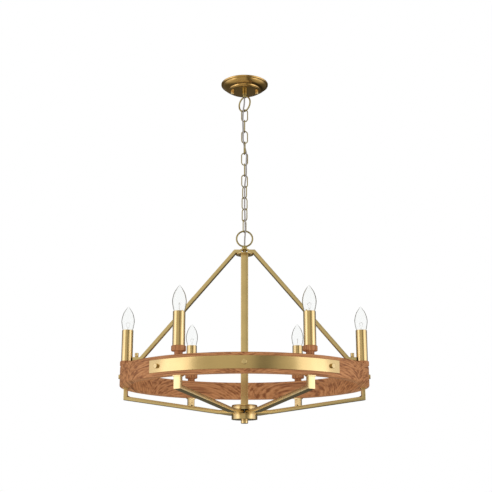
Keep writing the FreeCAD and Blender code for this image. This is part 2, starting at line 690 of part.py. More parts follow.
def make_canopy():
    """A spun shell: rolled rim, rounded shoulder, raised step ring and flat underside."""
    canopy = new_body("canopy")
    wall = "canopy_wall"
    hole = "nipple_radius + fit"
    lip = "canopy_radius - lip_width"
    step = "canopy_z + step_rise"
    ledge = "-lip_height + canopy_wall / 2"
    outer = [
        (hole, "canopy_z"),
        ("canopy_plate", "canopy_z"),
        ("canopy_step - step_flat", step, "canopy_shoulder", -1),
        ("canopy_step", step),
        (f"canopy_step + {wall} / 2", f"{step} + step_height"),
        (lip, ledge, "dome_rounding", -1),
        (f"{lip} + {wall} / 2", "-lip_height"),
        ("canopy_radius", "-lip_foot", "lip_rounding", -1),
        ("canopy_radius", "0"),
    ]
    inner = [
        (f"canopy_radius - {wall}", "0"),
        (f"canopy_radius - {wall}", "-lip_foot"),
        (f"{lip} + 0.3 * {wall}", f"-lip_height + 1.2 * {wall}", f"lip_rounding - {wall}", 1),
        (f"{lip} - {wall} / 2", f"{ledge} + {wall}"),
        (f"canopy_step - {wall} / 2", f"{step} + step_height + 0.8 * {wall}", "dome_rounding", 1),
        (f"canopy_step - {wall}", f"{step} + {wall}"),
        (f"canopy_step - step_flat - {wall} / 2", f"{step} + {wall}"),
        (f"canopy_plate - {wall} / 2", f"canopy_z + {wall}", "canopy_shoulder", 1),
        (hole, f"canopy_z + {wall}"),
    ]
    turned(canopy, outer + inner)
    holes = [(f"{side} * stud_spacing / 2", "0", "stud_radius + clearance") for side in (-1, 1)]
    drilled(canopy, holes, "canopy_z + 2 * canopy_wall", "3 * canopy_wall")
    keep(canopy, "canopy")


def make_loop(label, turn, centre, collar_base, collar_length, stem_base, stem_length):
    """A cast loop on a collar with a threaded end above or below it, bored through for the cord."""
    ring = doc.addObject("Part::Torus", "loop_ring")
    stand = FreeCAD.Rotation(FreeCAD.Vector(1, 0, 0), 90)
    ring.Placement.Rotation = FreeCAD.Rotation(UP, turn).multiply(stand)
    bind(ring, Radius1="loop_radius", Radius2="loop_wire", Placement__Base__z=centre)
    collar = cylinder("loop_collar", "collar_radius", collar_length, collar_base)
    stem = cylinder("loop_stem", "nipple_radius", stem_length, stem_base)
    casting = fused("loop_casting", [ring, collar, stem])
    foot = min(collar_base, stem_base, key=number)
    depth = f"{collar_length} + {stem_length} + 2 * {PAST}"
    bore = cylinder("loop_bore", "wireway", depth, f"{foot} - {PAST}")
    keep(cut(label, casting, bore), label)


def make_canopy_loop():
    make_loop(
        "canopy_loop",
        CANOPY_LOOP_TURN,
        "loop_z",
        "canopy_z - canopy_collar",
        "canopy_collar",
        "canopy_z",
        "nipple_rise",
    )
    blank = six_sided("loop_nut_blank", "nut_radius", "nut_height", "canopy_z + canopy_wall")
    hole = cylinder("loop_nut_hole", "nipple_radius + fit", "nut_height", "canopy_z + canopy_wall")
    keep(cut("loop_nut", blank, hole), "loop_nut")


# Chain and cord


def make_chain_link(index):
    """One welded link: two half rings joined by two straight sides."""
    bow = "link_width / 2 - link_wire"
    side = "link_length - link_width"
    shapes = []
    for end in (-1, 1):
        half_ring = doc.addObject("Part::Torus", "bow")
        half_ring.Angle3 = 180
        half_ring.Placement.Rotation = FreeCAD.Rotation(FreeCAD.Vector(1, 0, 0), 90 * end)
        bind(half_ring, Radius1=bow, Radius2="link_wire", Placement__Base__z=f"{end} * ({side}) / 2")
        straight = cylinder("side", "link_wire", side, f"-({side}) / 2", f"{end} * ({bow})")
        shapes += [half_ring, straight]
    label = f"chain_link_{index + 1:02d}"
    link = fused(label, shapes)
    link.Placement.Rotation = FreeCAD.Rotation(UP, LINK_TURNS[index % len(LINK_TURNS)])
    bind(link, Placement__Base__z=f"first_link_z - {index} * link_pitch")
    keep(link, label)


def make_chain():
    for index in range(int(number("link_count"))):
        make_chain_link(index)


def make_cord():
    """The supply cord, from inside the canopy down through the loops and beside the chain, then
    down the centre tube into the hub."""
    contact = number("loop_z - loop_radius + bow_reach / 2")
    pitch = number("link_pitch")
    top = number("canopy_z + nipple_rise + cord_head")
    below_collar = number("canopy_z - canopy_collar") - ABOVE_BEND
    points = [FreeCAD.Vector(0, 0, top), FreeCAD.Vector(0, 0, below_collar)]
    for index in range(int(number("link_count")) + 1):
        x, y = CORD_BESIDE[index % len(CORD_BESIDE)]
        points.append(FreeCAD.Vector(x, y, contact - index * pitch))
    points.append(FreeCAD.Vector(0, 0, number("collar_z + frame_collar") + ABOVE_BEND))
    high = number("plate_z - plug_length")
    low = number("cap_top_z + plug_length")
    points.append(FreeCAD.Vector(0, 0, high - ABOVE_BEND))
    step = (high - low - 2 * ABOVE_BEND) / (len(CORD_IN_TUBE) + 1)
    for index, (x, y) in enumerate(CORD_IN_TUBE):
        points.append(FreeCAD.Vector(x, y, high - ABOVE_BEND - (index + 1) * step))
    side = number("wire_hole_place")
    points.append(FreeCAD.Vector(0, side, low + ABOVE_BEND))
    points.append(FreeCAD.Vector(0, side, number("cup_edge_z - cord_tail")))
    path, radii = rounded_path(points)
    cord = doc.addObject("Part::Feature", "power_cord")
    cord.Shape = checked_tube(path, number("cord_radius"), "power_cord", radii)
    keep(cord, "power_cord")


# Frame top, straps and centre tube


def make_frame_top():
    stem = "washer_thick + bar_deep + plate_thick + plug_length - stem_short"
    make_loop(
        "frame_loop",
        FRAME_LOOP_TURN,
        "frame_loop_z",
        "collar_z",
        "frame_collar",
        f"collar_z - ({stem})",
        stem,
    )

    washer = new_body("top_washer")
    turned(
        washer,
        [
            ("nipple_radius + fit", "strap_top_z"),
            ("washer_radius", "strap_top_z"),
            ("washer_radius", "collar_z"),
            ("nipple_radius + fit", "collar_z"),
        ],
    )
    keep(washer, "top_washer")

    plate = new_body("top_plate")
    turned(
        plate,
        [
            ("nipple_radius + fit", "plate_z"),
            ("plate_radius", "plate_z"),
            ("plate_radius", "plate_z + plate_thick - plate_edge"),
            ("plate_radius - plate_edge", "plate_z + plate_thick", "plate_edge", -1),
            ("nipple_radius + fit", "plate_z + plate_thick"),
        ],
    )
    holes = [(f"{side} * strap_screw_place", "0", "screw_radius + fit") for side in (-1, 1)]
    drilled(plate, holes, "plate_z + plate_thick", "plate_thick")
    keep(plate, "top_plate")


def make_strap(label, turn):
    """A bent tube from the top plate out to the rim, with a level foot beside the candle."""
    strap = new_body(label)
    level = "strap_top_z - bar_deep / 2"
    path = [("strap_inner", level), ("strap_shoulder", level), ("strap_knee", "foot_z"), ("foot_end", "foot_z")]
    bent_tube(strap, path, "strap_inner")
    drilled(strap, [("foot_screw_place", "0", "screw_radius + fit")], "foot_top_z", "bar_deep")
    drilled(strap, [("strap_screw_place", "0", "screw_radius + fit")], "strap_top_z", "bar_deep")
    strap.Placement.Rotation = FreeCAD.Rotation(UP, turn)
    keep(strap, label)


def make_strap_fixings():
    screws = []
    knobs = []
    spacers = []
    for side in (-1, 1):
        x = f"{side} * strap_screw_place"
        height = "screw_head_height"
        head = cylinder("strap_screw_head", "screw_head", height, f"plate_z - {height}", x)
        shank = cylinder("strap_screw_shank", "screw_radius", "plate_thick + bar_deep", "plate_z", x)
        screws.append(fused("strap_screw", [head, shank]))
        x = f"{side} * foot_screw_place"
        head = cylinder("foot_knob_head", "foot_knob_radius", "foot_knob_height", "foot_top_z", x)
        reach = "bar_deep + spacer_length + bracket_thick + foot_knob_tip"
        shank = cylinder("foot_knob_shank", "screw_radius", reach, f"foot_top_z - ({reach})", x)
        knobs.append(fused("foot_knob", [head, shank]))
        tube = cylinder("spacer_tube", "spacer_radius", "spacer_length", "shelf_top_z", x)
        bore = cylinder("spacer_bore", "screw_radius + fit", "spacer_length", "shelf_top_z", x)
        spacers.append(cut("spacer", tube, bore))
    keep(group("strap_screws", screws), "strap_screws")
    keep(group("foot_knobs", knobs), "foot_knobs")
    keep(group("foot_spacers", spacers), "foot_spacers")


def make_rim_brackets():
    """Angle brackets on the inside of the rim: a leg down the wood and a shelf under the strap."""
    brackets = new_body("bracket_blanks")
    face = "bracket_face"
    corner = [
        (face, "shelf_top_z"),
        (f"{face} - bracket_reach", "shelf_top_z"),
        (f"{face} - bracket_reach", "shelf_z"),
        (f"{face} - bracket_thick", "shelf_z"),
        (f"{face} - bracket_thick", "shelf_z - bracket_leg"),
        (face, "shelf_z - bracket_leg"),
    ]
    sketch = outline(new_sketch(brackets, "XZ_Plane"), corner)
    pad = brackets.newObject("PartDesign::Pad", "Angle")
    pad.Profile = sketch
    pad.Midplane = True
    bind(pad, Length="bracket_width")
    hole = [("foot_screw_place", "0", "screw_radius + fit")]
    shelf_hole = drilled(brackets, hole, "shelf_top_z", "bracket_thick")
    around(brackets, [pad, shelf_hole], "2")
    holes = bracket_screws("bracket_screw_hole", "fit", False)
    keep(cut("rim_brackets_cut", brackets, holes), "rim_brackets")
    keep(bracket_screws("bracket_screws_set", "0", True), "bracket_screws")


def bracket_screws(name, extra, heads):
    """The short screws that hold the brackets, or the holes for them when they have no heads."""
    screws = []
    for angle in (0, 180):
        for level in (-1, 1):
            height = f"shelf_z - (bracket_leg + {level} * wood_screw_pitch) / 2"
            radius, reach = f"wood_screw_radius + {extra}", f"wood_screw_reach + bracket_thick + {extra}"
            start = "bracket_face - bracket_thick"
            shank = radial_cylinder(f"{name}_shank", radius, reach, start, height, angle)
            if not heads:
                screws.append(shank)
                continue
            size = "wood_screw_head_height"
            start = f"{start} - {size}"
            head = radial_cylinder(f"{name}_head", "wood_screw_head", size, start, height, angle)
            screws.append(fused(name, [shank, head]))
    return group(f"{name}_group", screws)


def make_centre_tube():
    tube = new_body("centre_tube")
    sketch = new_sketch(tube, "XY_Plane", "cap_top_z")
    signs = [(-1, -1), (1, -1), (1, 1), (-1, 1)]
    for half in ("tube_wide / 2", "(tube_wide / 2 - tube_wall)"):
        outline(sketch, [(f"{i} * {half}", f"{j} * {half}") for i, j in signs])
    pad = tube.newObject("PartDesign::Pad", "Length")
    pad.Profile = sketch
    bind(pad, Length="plate_z - cap_top_z")
    keep(tube, "centre_tube")

    plugs = []
    inside = "2 * plug_half"
    for name, base in (("upper", "plate_z - plug_length"), ("lower", "cap_top_z")):
        plug = new_body(f"{name}_plug")
        block(plug, "0", "0", inside, inside, base, "plug_length")
        holes = [("0", "0", "nipple_radius + fit")]
        if name == "lower":
            holes = [("0", "0", "rod_radius + fit"), ("0", "wire_hole_place", "wire_hole")]
        drilled(plug, holes, f"{base} + plug_length", "plug_length")
        plugs.append(plug)
    keep(group("tube_plugs", plugs), "tube_plugs")


# Hub and arms


def make_hub():
    cap = new_body("hub_cap")
    turned(
        cap,
        [
            ("rod_radius + fit", "cap_top_z"),
            ("rod_radius + fit", "cap_top_z - hub_wall"),
            ("hub_radius - hub_wall", "cap_top_z - hub_wall"),
            ("hub_radius - hub_wall", "cap_z"),
            ("hub_radius", "cap_z"),
            ("hub_radius", "cap_top_z - hub_edge"),
            ("hub_radius - hub_edge", "cap_top_z", "hub_edge", -1),
        ],
    )
    drilled(cap, [("0", "wire_hole_place", "wire_hole")], "cap_top_z", "hub_wall")
    keep(cap, "hub_cap")

    cup = new_body("hub_cup")
    turned(
        cup,
        [
            ("rod_radius + fit", "cup_base_z + hub_wall"),
            ("rod_radius + fit", "cup_base_z"),
            ("hub_radius - hub_edge / 3", "cup_base_z"),
            ("hub_radius", "cup_base_z + hub_edge / 3", "hub_edge / 3", -1),
            ("hub_radius", "cup_edge_z"),
            ("hub_radius - hub_wall", "cup_edge_z"),
            ("hub_radius - hub_wall", "cup_base_z + hub_wall"),
        ],
    )
    keep(cup, "hub_cup")

    core = new_body("hub_core")
    low, high = "cup_base_z + hub_wall", "cap_top_z - hub_wall"
    turned(
        core,
        [
            ("rod_radius + fit", low),
            ("core_radius", low),
            ("core_radius", high),
            ("rod_radius + fit", high),
        ],
    )
    drilled(core, [("0", "wire_hole_place", "wire_hole")], high, f"{high} - ({low})")
    keep(core, "hub_core")

    finial = new_body("hub_finial")
    turned(
        finial,
        [
            ("0", "cup_base_z - finial_height"),
            ("finial_radius - finial_edge", "cup_base_z - finial_height"),
            ("finial_radius", "cup_base_z - finial_height + finial_edge", "finial_edge", -1),
            ("finial_radius", "cup_base_z"),
            ("rod_radius", "cup_base_z"),
            ("rod_radius", "cap_top_z + plug_length - rod_short"),
            ("0", "cap_top_z + plug_length - rod_short"),
        ],
    )
    keep(finial, "hub_finial")


def make_arms():
    """Six bent tubes from the hub out under the rim, each with a flange under its candle."""
    arms = new_body("arms")
    flange_base = "rim_base_z - flange_thick"
    out = "candle_circle"
    path = [("arm_inner", "hub_z"), ("arm_knee", "hub_z"), (out, "knee_z"), (out, flange_base)]
    tube = bent_tube(arms, path, "arm_inner")
    flange = block(arms, out, "0", "flange_deep", "flange_wide", flange_base, "flange_thick")
    depth = "flange_thick + stem_foot + clearance"
    hole = drilled(arms, [(out, "0", "stem_radius + fit")], "rim_base_z", depth)
    around(arms, [tube, flange, hole], "candle_count")
    keep(arms, "arms")


# Wheel


def rim_screw_places():
    """Angle about the axis and height of each rim screw: three in each band and one at each side."""
    places = []
    for middle in BAND_MIDDLES.values():
        for turn in ("-band_screw_angle", "0", "band_screw_angle"):
            places.append((f"{middle} + {turn}", "wheel_z", "band_thick"))
    for side in (0, 180):
        places.append((f"{side}", "wheel_z + side_knob_rise", "0"))
    return places


def make_rim_screws():
    screws = []
    for angle, height, under_head in rim_screw_places():
        seat = f"wheel_radius + {under_head}"
        head = radial_cylinder("rim_knob", "rim_knob_radius", "rim_knob_height", seat, height, angle)
        reach = f"rim_screw_reach + {under_head}"
        start = "wheel_radius - rim_screw_reach"
        shank = radial_cylinder("rim_shank", "screw_radius", reach, start, height, angle)
        screws.append(fused("rim_screw", [head, shank]))
    keep(group("rim_screws", screws), "rim_screws")


def rim_screw_holes():
    holes = []
    for angle, height, _ in rim_screw_places():
        start = "wheel_radius - rim_screw_reach - fit"
        length = f"rim_screw_reach + band_thick + {PAST}"
        holes.append(radial_cylinder("rim_hole", "screw_radius + fit", length, start, height, angle))
    return group("rim_holes", holes)


def dowel_set(name, extra):
    """Two dowels across each joint of the rim, or the holes for them with some extra size."""
    dowels = new_body(name)
    sketch = new_sketch(dowels, "XZ_Plane")
    for side in (-1, 1):
        height = f"wheel_z + {side} * dowel_pitch / 2"
        round_hole(sketch, "wheel_radius - rim_width / 2", height, f"dowel_radius + {extra}")
    pad = dowels.newObject("PartDesign::Pad", "Dowels")
    pad.Profile = sketch
    pad.Midplane = True
    bind(pad, Length=f"dowel_length + 2 * {extra}")
    around(dowels, [pad], "felloe_count")
    dowels.Placement.Rotation = FreeCAD.Rotation(UP, number("180 / felloe_count"))
    return dowels


def make_felloes():
    """The wooden rim: curved segments with eased edges, drilled for dowels, stems and screws."""
    blank = new_body("felloe_blank")
    edge = "rim_edge"
    section = turned(
        blank,
        [
            (f"rim_inner + {edge}", "rim_base_z"),
            (f"wheel_radius - {edge}", "rim_base_z"),
            ("wheel_radius", f"rim_base_z + {edge}", edge, -1),
            ("wheel_radius", f"rim_top_z - {edge}"),
            (f"wheel_radius - {edge}", "rim_top_z", edge, -1),
            (f"rim_inner + {edge}", "rim_top_z"),
            ("rim_inner", f"rim_top_z - {edge}", edge, -1),
            ("rim_inner", f"rim_base_z + {edge}"),
        ],
        angle="360 / felloe_count",
    )
    around(blank, [section], "felloe_count")
    stems = []
    for index in range(int(number("candle_count"))):
        x, y = circle_around("candle_circle", "0", f"({index} * 360 / candle_count)")
        depth = f"wheel_height + 2 * {PAST}"
        stems.append(cylinder("stem_hole", "stem_radius + clearance", depth, f"rim_base_z - {PAST}", x, y))
    wood_screws = bracket_screws("wood_screw_hole", "fit", False)
    drills = group("rim_drills", [dowel_set("dowel_holes", "fit"), rim_screw_holes(), wood_screws] + stems)
    keep(cut("felloes_cut", blank, drills), "felloes")
    keep(dowel_set("felloe_dowels", "0"), "felloe_dowels")


def make_band(label, middle):
    """A brass band bent round the rim, with three screw holes."""
    blank = new_body(f"{label}_blank")
    low, high = "wheel_z - band_height / 2", "wheel_z + band_height / 2"
    turned(
        blank,
        [
            ("wheel_radius", low),
            ("wheel_radius + band_thick", low),
            ("wheel_radius + band_thick", high),
            ("wheel_radius", high),
        ],
        angle="band_angle",
    )
    blank.Placement.Rotation = FreeCAD.Rotation(UP, middle)
    keep(cut(f"{label}_cut", blank, rim_screw_holes()), label)


# Candles


def at_candles(name, points):
    """A turned piece at each candle."""
    body = new_body(name)
    around(body, [turned(body, points, at="candle_circle")], "candle_count")
    keep(body, name)


def make_candles():
    bore = "stem_radius + fit"
    at_candles(
        "candle_cups",
        [
            (bore, "rim_top_z"),
            ("cup_neck_radius", "rim_top_z"),
            ("cup_neck_radius", "cup_disc_z"),
            ("cup_radius - cup_edge", "cup_disc_z"),
            ("cup_radius", "cup_disc_z + cup_edge", "cup_edge", -1),
            ("cup_radius", "cup_top_z - cup_edge"),
            ("cup_radius - cup_edge", "cup_top_z", "cup_edge", -1),
            (bore, "cup_top_z"),
        ],
    )
    at_candles(
        "candle_sleeves",
        [
            ("sleeve_radius - sleeve_wall", "cup_top_z"),
            ("sleeve_radius", "cup_top_z"),
            ("sleeve_radius", "sleeve_top_z"),
            ("sleeve_radius - sleeve_wall", "sleeve_top_z"),
        ],
    )
    at_candles(
        "candle_stems",
        [
            ("stem_bore", "stem_base_z"),
            ("stem_radius", "stem_base_z"),
            ("stem_radius", "stem_top_z"),
            ("stem_bore", "stem_top_z"),
        ],
    )
    base_hole = "base_radius + clearance"
    shoulder = "socket_top_z - socket_length"
    floor = "socket_floor_z"
    at_candles(
        "candle_sockets",
        [
            (bore, "stem_top_z - socket_grip"),
            ("socket_neck", "stem_top_z - socket_grip"),
            ("socket_neck", shoulder),
            ("socket_radius", shoulder),
            ("socket_radius", "socket_top_z"),
            (base_hole, "socket_top_z"),
            (base_hole, floor),
            ("stem_bore", floor),
            ("stem_bore", "stem_top_z + fit"),
            (bore, "stem_top_z + fit"),
        ],
    )


def make_lamp_wires():
    """One wire to each lamp: out along the arm, up its post and through the stem."""
    out = number("candle_circle")
    floor = number("socket_floor_z")
    level = number("hub_z")
    points = [
        FreeCAD.Vector(number("arm_inner - lamp_wire_tail"), 0, level),
        FreeCAD.Vector(number("arm_knee"), 0, level),
        FreeCAD.Vector(out, 0, number("knee_z")),
        FreeCAD.Vector(out, 0, floor - number("lamp_wire_short")),
    ]
    path, radii = rounded_path(points, largest=WIRE_BEND * number("lamp_wire"))
    wire = checked_tube(path, number("lamp_wire"), "lamp_wires", radii)
    count = int(number("candle_count"))
    copies = [wire.rotated(FreeCAD.Vector(), UP, index * 360 / count) for index in range(count)]
    wires = doc.addObject("Part::Feature", "lamp_wires")
    wires.Shape = Part.makeCompound(copies)
    keep(wires, "lamp_wires")


def glass_outline(shrink):
    """Half outline of a torpedo bulb from its neck to its tip, drawn in by a wall or by nothing: a
    flare, a belly and a long taper."""
    neck, mouth, belly = (number(name) - shrink for name in ("glass_neck", "glass_mouth", "glass_belly"))
    recess, rise, top = number("socket_recess"), number("glass_belly_rise"), number("glass_length") - shrink
    points = [FreeCAD.Vector(neck, 0, 0), FreeCAD.Vector(mouth, 0, recess)]
    points.append(FreeCAD.Vector(neck + FLARE[0] * (belly - neck), 0, recess + FLARE[1] * (rise - recess)))
    points.append(FreeCAD.Vector(belly, 0, rise))
    for out, up in TAPER:
        points.append(FreeCAD.Vector(out * belly, 0, rise + up * (top - rise)))
    points.append(FreeCAD.Vector(0, 0, top))
    curve = Part.BSplineCurve()
    curve.interpolate(Points=points, InitialTangent=UP, FinalTangent=FreeCAD.Vector(-1, 0, 0))
    return curve


def make_bulb(index):
    """A clear candle bulb: screw base with its button and filament, and the glass over it."""
    turn = FreeCAD.Rotation(UP, index * 360 / number("candle_count"))
    outer, inner = glass_outline(0), glass_outline(number("glass_wall"))
    foot = Part.LineSegment(outer.StartPoint, inner.StartPoint)
    tip = Part.LineSegment(inner.EndPoint, outer.EndPoint)
    section = Part.Face(Part.Wire([edge.toShape() for edge in (foot, inner, tip, outer)]))
    glass = doc.addObject("Part::Feature", f"bulb_glass_{index + 1}")
    glass.Shape = section.revolve(FreeCAD.Vector(), UP, 360)
    out = turn.multVec(FreeCAD.Vector(number("candle_circle"), 0, 0))
    glass.Placement = FreeCAD.Placement(out + UP * number("socket_top_z"), turn)
    keep(glass, f"bulb_glass_{index + 1}")

    x, y = circle_around("candle_circle", "0", f"({index} * 360 / candle_count)")
    foot = "socket_top_z - base_length"
    length = "base_length - button_height"
    shell = cylinder("base_shell", "base_radius", length, f"{foot} + button_height", x, y)
    button = cylinder("base_button", "button_radius", "button_height", foot, x, y)
    stem = cylinder("filament_stem", "filament_radius", "filament_rise", "socket_top_z", x, y)
    label = f"bulb_base_{index + 1}"
    keep(fused(label, [shell, button, stem]), label)


def write_pieces():
    """Checks every object and writes each piece to its own file."""
    doc.recompute()
    for thing in doc.Objects:
        if "Invalid" in thing.State or "Error" in thing.State:
            raise RuntimeError("failed object: " + thing.Label)
    os.makedirs("parts", exist_ok=True)
    for piece in pieces:
        shape = piece.Shape
        if shape.isNull() or not shape.isValid() or not shape.Solids:
            raise RuntimeError("bad shape: " + piece.Label)
        shape.exportStep(f"parts/{piece.Label}.step")
    print(len(pieces), "pieces written")


fill_sheet()
make_mounting_strips()
make_canopy_fixings()
make_canopy()
make_canopy_loop()
make_chain()
make_cord()
make_frame_top()
make_strap("strap_right", 0)
make_strap("strap_left", 180)
make_strap_fixings()
make_rim_brackets()
make_centre_tube()
make_hub()
make_arms()
make_felloes()
for band, middle in BAND_MIDDLES.items():
    make_band(band, middle)
make_rim_screws()
make_candles()
make_lamp_wires()
for lamp in range(int(number("candle_count"))):
    make_bulb(lamp)
write_pieces()
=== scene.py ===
import math

import bmesh
import bpy
import numpy as np
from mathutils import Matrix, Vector


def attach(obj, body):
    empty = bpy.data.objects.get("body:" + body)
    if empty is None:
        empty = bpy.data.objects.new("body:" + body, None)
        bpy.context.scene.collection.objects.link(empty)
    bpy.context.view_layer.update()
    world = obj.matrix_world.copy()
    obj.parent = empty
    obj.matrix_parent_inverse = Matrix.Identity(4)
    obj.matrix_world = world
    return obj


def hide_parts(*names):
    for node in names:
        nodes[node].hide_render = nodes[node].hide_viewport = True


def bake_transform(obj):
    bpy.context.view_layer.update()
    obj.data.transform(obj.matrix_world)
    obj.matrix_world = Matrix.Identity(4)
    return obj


# Looks of the wagon wheel chandelier. Sizes below are in millimetres, measured from the ceiling,
# and every mesh is written in metres.

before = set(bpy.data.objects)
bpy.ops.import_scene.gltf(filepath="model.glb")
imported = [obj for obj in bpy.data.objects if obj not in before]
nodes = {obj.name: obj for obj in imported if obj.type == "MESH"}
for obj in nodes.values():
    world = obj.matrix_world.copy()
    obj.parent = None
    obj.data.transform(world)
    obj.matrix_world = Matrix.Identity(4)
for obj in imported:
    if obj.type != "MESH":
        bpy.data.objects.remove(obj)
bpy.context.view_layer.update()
MM = 0.001

CANOPY_Z = -22.5
LOOP_Z = -60.75
LOOP_RADIUS, LOOP_WIRE = 22.0, 2.25
LINK_TOP_Z, LINK_PITCH, LINK_LENGTH, LINK_WIDTH, LINK_WIRE = -96.87, 33.04, 39.34, 20.0, 1.5
LINK_TURNS = [0, 92, 12, 100, 2, 92, 20, 130, 35, 141, 62]
FRAME_LOOP_Z, COLLAR_Z = -463.39, -493.64
STRAP_TOP_Z, PLATE_Z = -496.04, -509.54
WHEEL_Z = -850.04
RIM_TOP_Z, RIM_BASE_Z = WHEEL_Z + 24.15, WHEEL_Z - 24.15
RIM_INNER, RIM_OUTER = 301.0, 330.0
CUP_DISC_Z, CUP_TOP_Z = RIM_TOP_Z + 9, RIM_TOP_Z + 22.3
SLEEVE_TOP_Z = CUP_TOP_Z + 83.8
SOCKET_TOP_Z = SLEEVE_TOP_Z - 12
HUB_Z = WHEEL_Z - 87.8
CAP_TOP_Z, CUP_BASE_Z = HUB_Z + 18.15, HUB_Z - 20.15
CANDLE_CIRCLE = 315.5
CANDLES = 6
BAR_WIDE, BAR_DEEP, BAR_WALL = 20.0, 10.0, 1.2
GLASS_LENGTH, GLASS_WALL = 77.0, 0.7
BULB_BASE_Z = SOCKET_TOP_Z - 24
THREAD_PITCH, THREAD_DEPTH = 3.0, 0.32


# Materials


class Value:
    """A socket that shader maths can be written with: each operator adds a Math node."""

    def __init__(self, shader, socket):
        self.shader = shader
        self.socket = socket

    def maths(self, operation, *others):
        return self.shader.node("ShaderNodeMath", {"operation": operation}, [self, *others])

    def __add__(self, other):
        return self.maths("ADD", other)

    def __sub__(self, other):
        return self.maths("SUBTRACT", other)

    def __rsub__(self, other):
        return self.shader.node("ShaderNodeMath", {"operation": "SUBTRACT"}, [other, self])

    def __mul__(self, other):
        return self.maths("MULTIPLY", other)

    def __truediv__(self, other):
        return self.maths("DIVIDE", other)

    def __pow__(self, other):
        return self.maths("POWER", other)

    __radd__ = __add__
    __rmul__ = __mul__

    def clamped(self):
        return self.shader.node("ShaderNodeClamp", {}, [self])

    def between(self, low, high):
        """0 at low, 1 at high, smooth in between and level outside. high may be the smaller."""
        settings = {"interpolation_type": "SMOOTHSTEP", "clamp": True}
        return self.shader.node("ShaderNodeMapRange", settings, [self, low, high, 0.0, 1.0])


class Nodes:
    """The nodes of a material or of the world."""

    def __init__(self, tree):
        self.tree = tree

    def node(self, kind, settings=None, inputs=None, output=0):
        """Adds a node: its settings first, then the values or links of its sockets, in order or by
        name. A value of None leaves a socket as it is. Gives one output, or None if it has none."""
        made = self.tree.nodes.new(kind)
        for key, setting in (settings or {}).items():
            setattr(made, key, setting)
        items = inputs.items() if isinstance(inputs, dict) else enumerate(inputs or [])
        for key, given in items:
            if given is None:
                continue
            if isinstance(given, Value):
                self.tree.links.new(given.socket, made.inputs[key])
            else:
                made.inputs[key].default_value = given
        return Value(self, made.outputs[output]) if len(made.outputs) else None

    def parts(self, vector):
        split = self.node("ShaderNodeSeparateXYZ", {}, [vector]).socket.node
        return [Value(self, socket) for socket in split.outputs]

    def joined(self, x, y, z):
        return self.node("ShaderNodeCombineXYZ", {}, [x, y, z])

    def mixed(self, factor, first, second):
        return self.node("ShaderNodeMixShader", {}, [factor, first, second])


class Shader(Nodes):
    """A material and the nodes that make it."""

    def __init__(self, name):
        self.material = bpy.data.materials.new(name)
        self.material.use_nodes = True
        super().__init__(self.material.node_tree)
        self.main = next(n for n in self.tree.nodes if n.type == "BSDF_PRINCIPLED")

    def place(self):
        """Position on the object, in metres."""
        return self.node("ShaderNodeTexCoord", output=3)

    def attribute(self, name):
        return self.node("ShaderNodeAttribute", {"attribute_name": name}, output=1)

    def noise(self, vector, scale, detail=3.0, roughness=0.5):
        inputs = {"Vector": vector, "Scale": scale, "Detail": detail, "Roughness": roughness}
        return self.node("ShaderNodeTexNoise", {}, inputs)

    def colours(self, factor, first, second, blend="MIX"):
        """Mixes two colours, each a triple or a link."""
        mix = self.tree.nodes.new("ShaderNodeMix")
        mix.data_type = "RGBA"
        mix.blend_type = blend
        for index, given in ((0, factor), (6, first), (7, second)):
            if isinstance(given, Value):
                self.tree.links.new(given.socket, mix.inputs[index])
            elif index == 0:
                mix.inputs[index].default_value = given
            else:
                mix.inputs[index].default_value = (*given, 1)
        return Value(self, mix.outputs[2])

    def shaded(self, shade, colour):
        """A colour times a grey value."""
        return self.colours(1.0, colour, self.joined(shade, shade, shade), "MULTIPLY")

    def bump(self, height, distance, strength=1.0):
        inputs = {"Height": height, "Distance": distance, "Strength": strength}
        self.set("Normal", self.node("ShaderNodeBump", {}, inputs))

    def set(self, name, given):
        socket = self.main.inputs[name]
        if isinstance(given, Value):
            self.tree.links.new(given.socket, socket)
        elif isinstance(given, tuple) and len(given) == 3:
            socket.default_value = (*given, 1)
        else:
            socket.default_value = given


def srgb(red, green, blue):
    """A screen colour, 0 to 255, as linear light."""
    return tuple(
        c / 12.92 if c <= 0.04045 else ((c + 0.055) / 1.055) ** 2.4
        for c in (red / 255, green / 255, blue / 255)
    )


def brass(name, tone, brushed, roughness=0.25):
    """Satin brass under lacquer: one gold and a deeper one in soft clouds, and faint lines left by
    polishing. brushed is "up" along the height, "round" about the hanging axis, or None where cast."""
    shader = Shader(name)
    place = shader.place()
    clouds = shader.noise(place, 22.0, 3.0)
    x, y, z = shader.parts(place)
    if brushed == "up":
        line = shader.joined(x * 900.0, y * 900.0, z * 12.0)
    elif brushed == "round":
        radius = (x * x + y * y) ** 0.5
        angle = shader.node("ShaderNodeMath", {"operation": "ARCTAN2"}, [y, x])
        line = shader.joined(radius * 900.0, angle * 3.0, z * 900.0)
    else:
        line = shader.joined(x * 260.0, y * 260.0, z * 260.0)
    lines = shader.noise(line, 1.0, 2.0, 0.6)
    deep = tuple(c * 0.93 for c in tone)
    mixed = shader.colours(clouds.between(0.35, 0.65), deep, tone)
    shade = (lines - 0.5) * 0.06 + 1.0
    shader.set("Base Color", shader.shaded(shade, mixed))
    shader.set("Metallic", 1.0)
    shader.set("Roughness", (lines - 0.5) * 0.06 + (clouds - 0.5) * 0.04 + roughness)
    shader.bump(lines, 0.000002, 0.15)
    shader.set("Coat Weight", 0.15)
    shader.set("Coat Roughness", 0.12)
    return shader.material


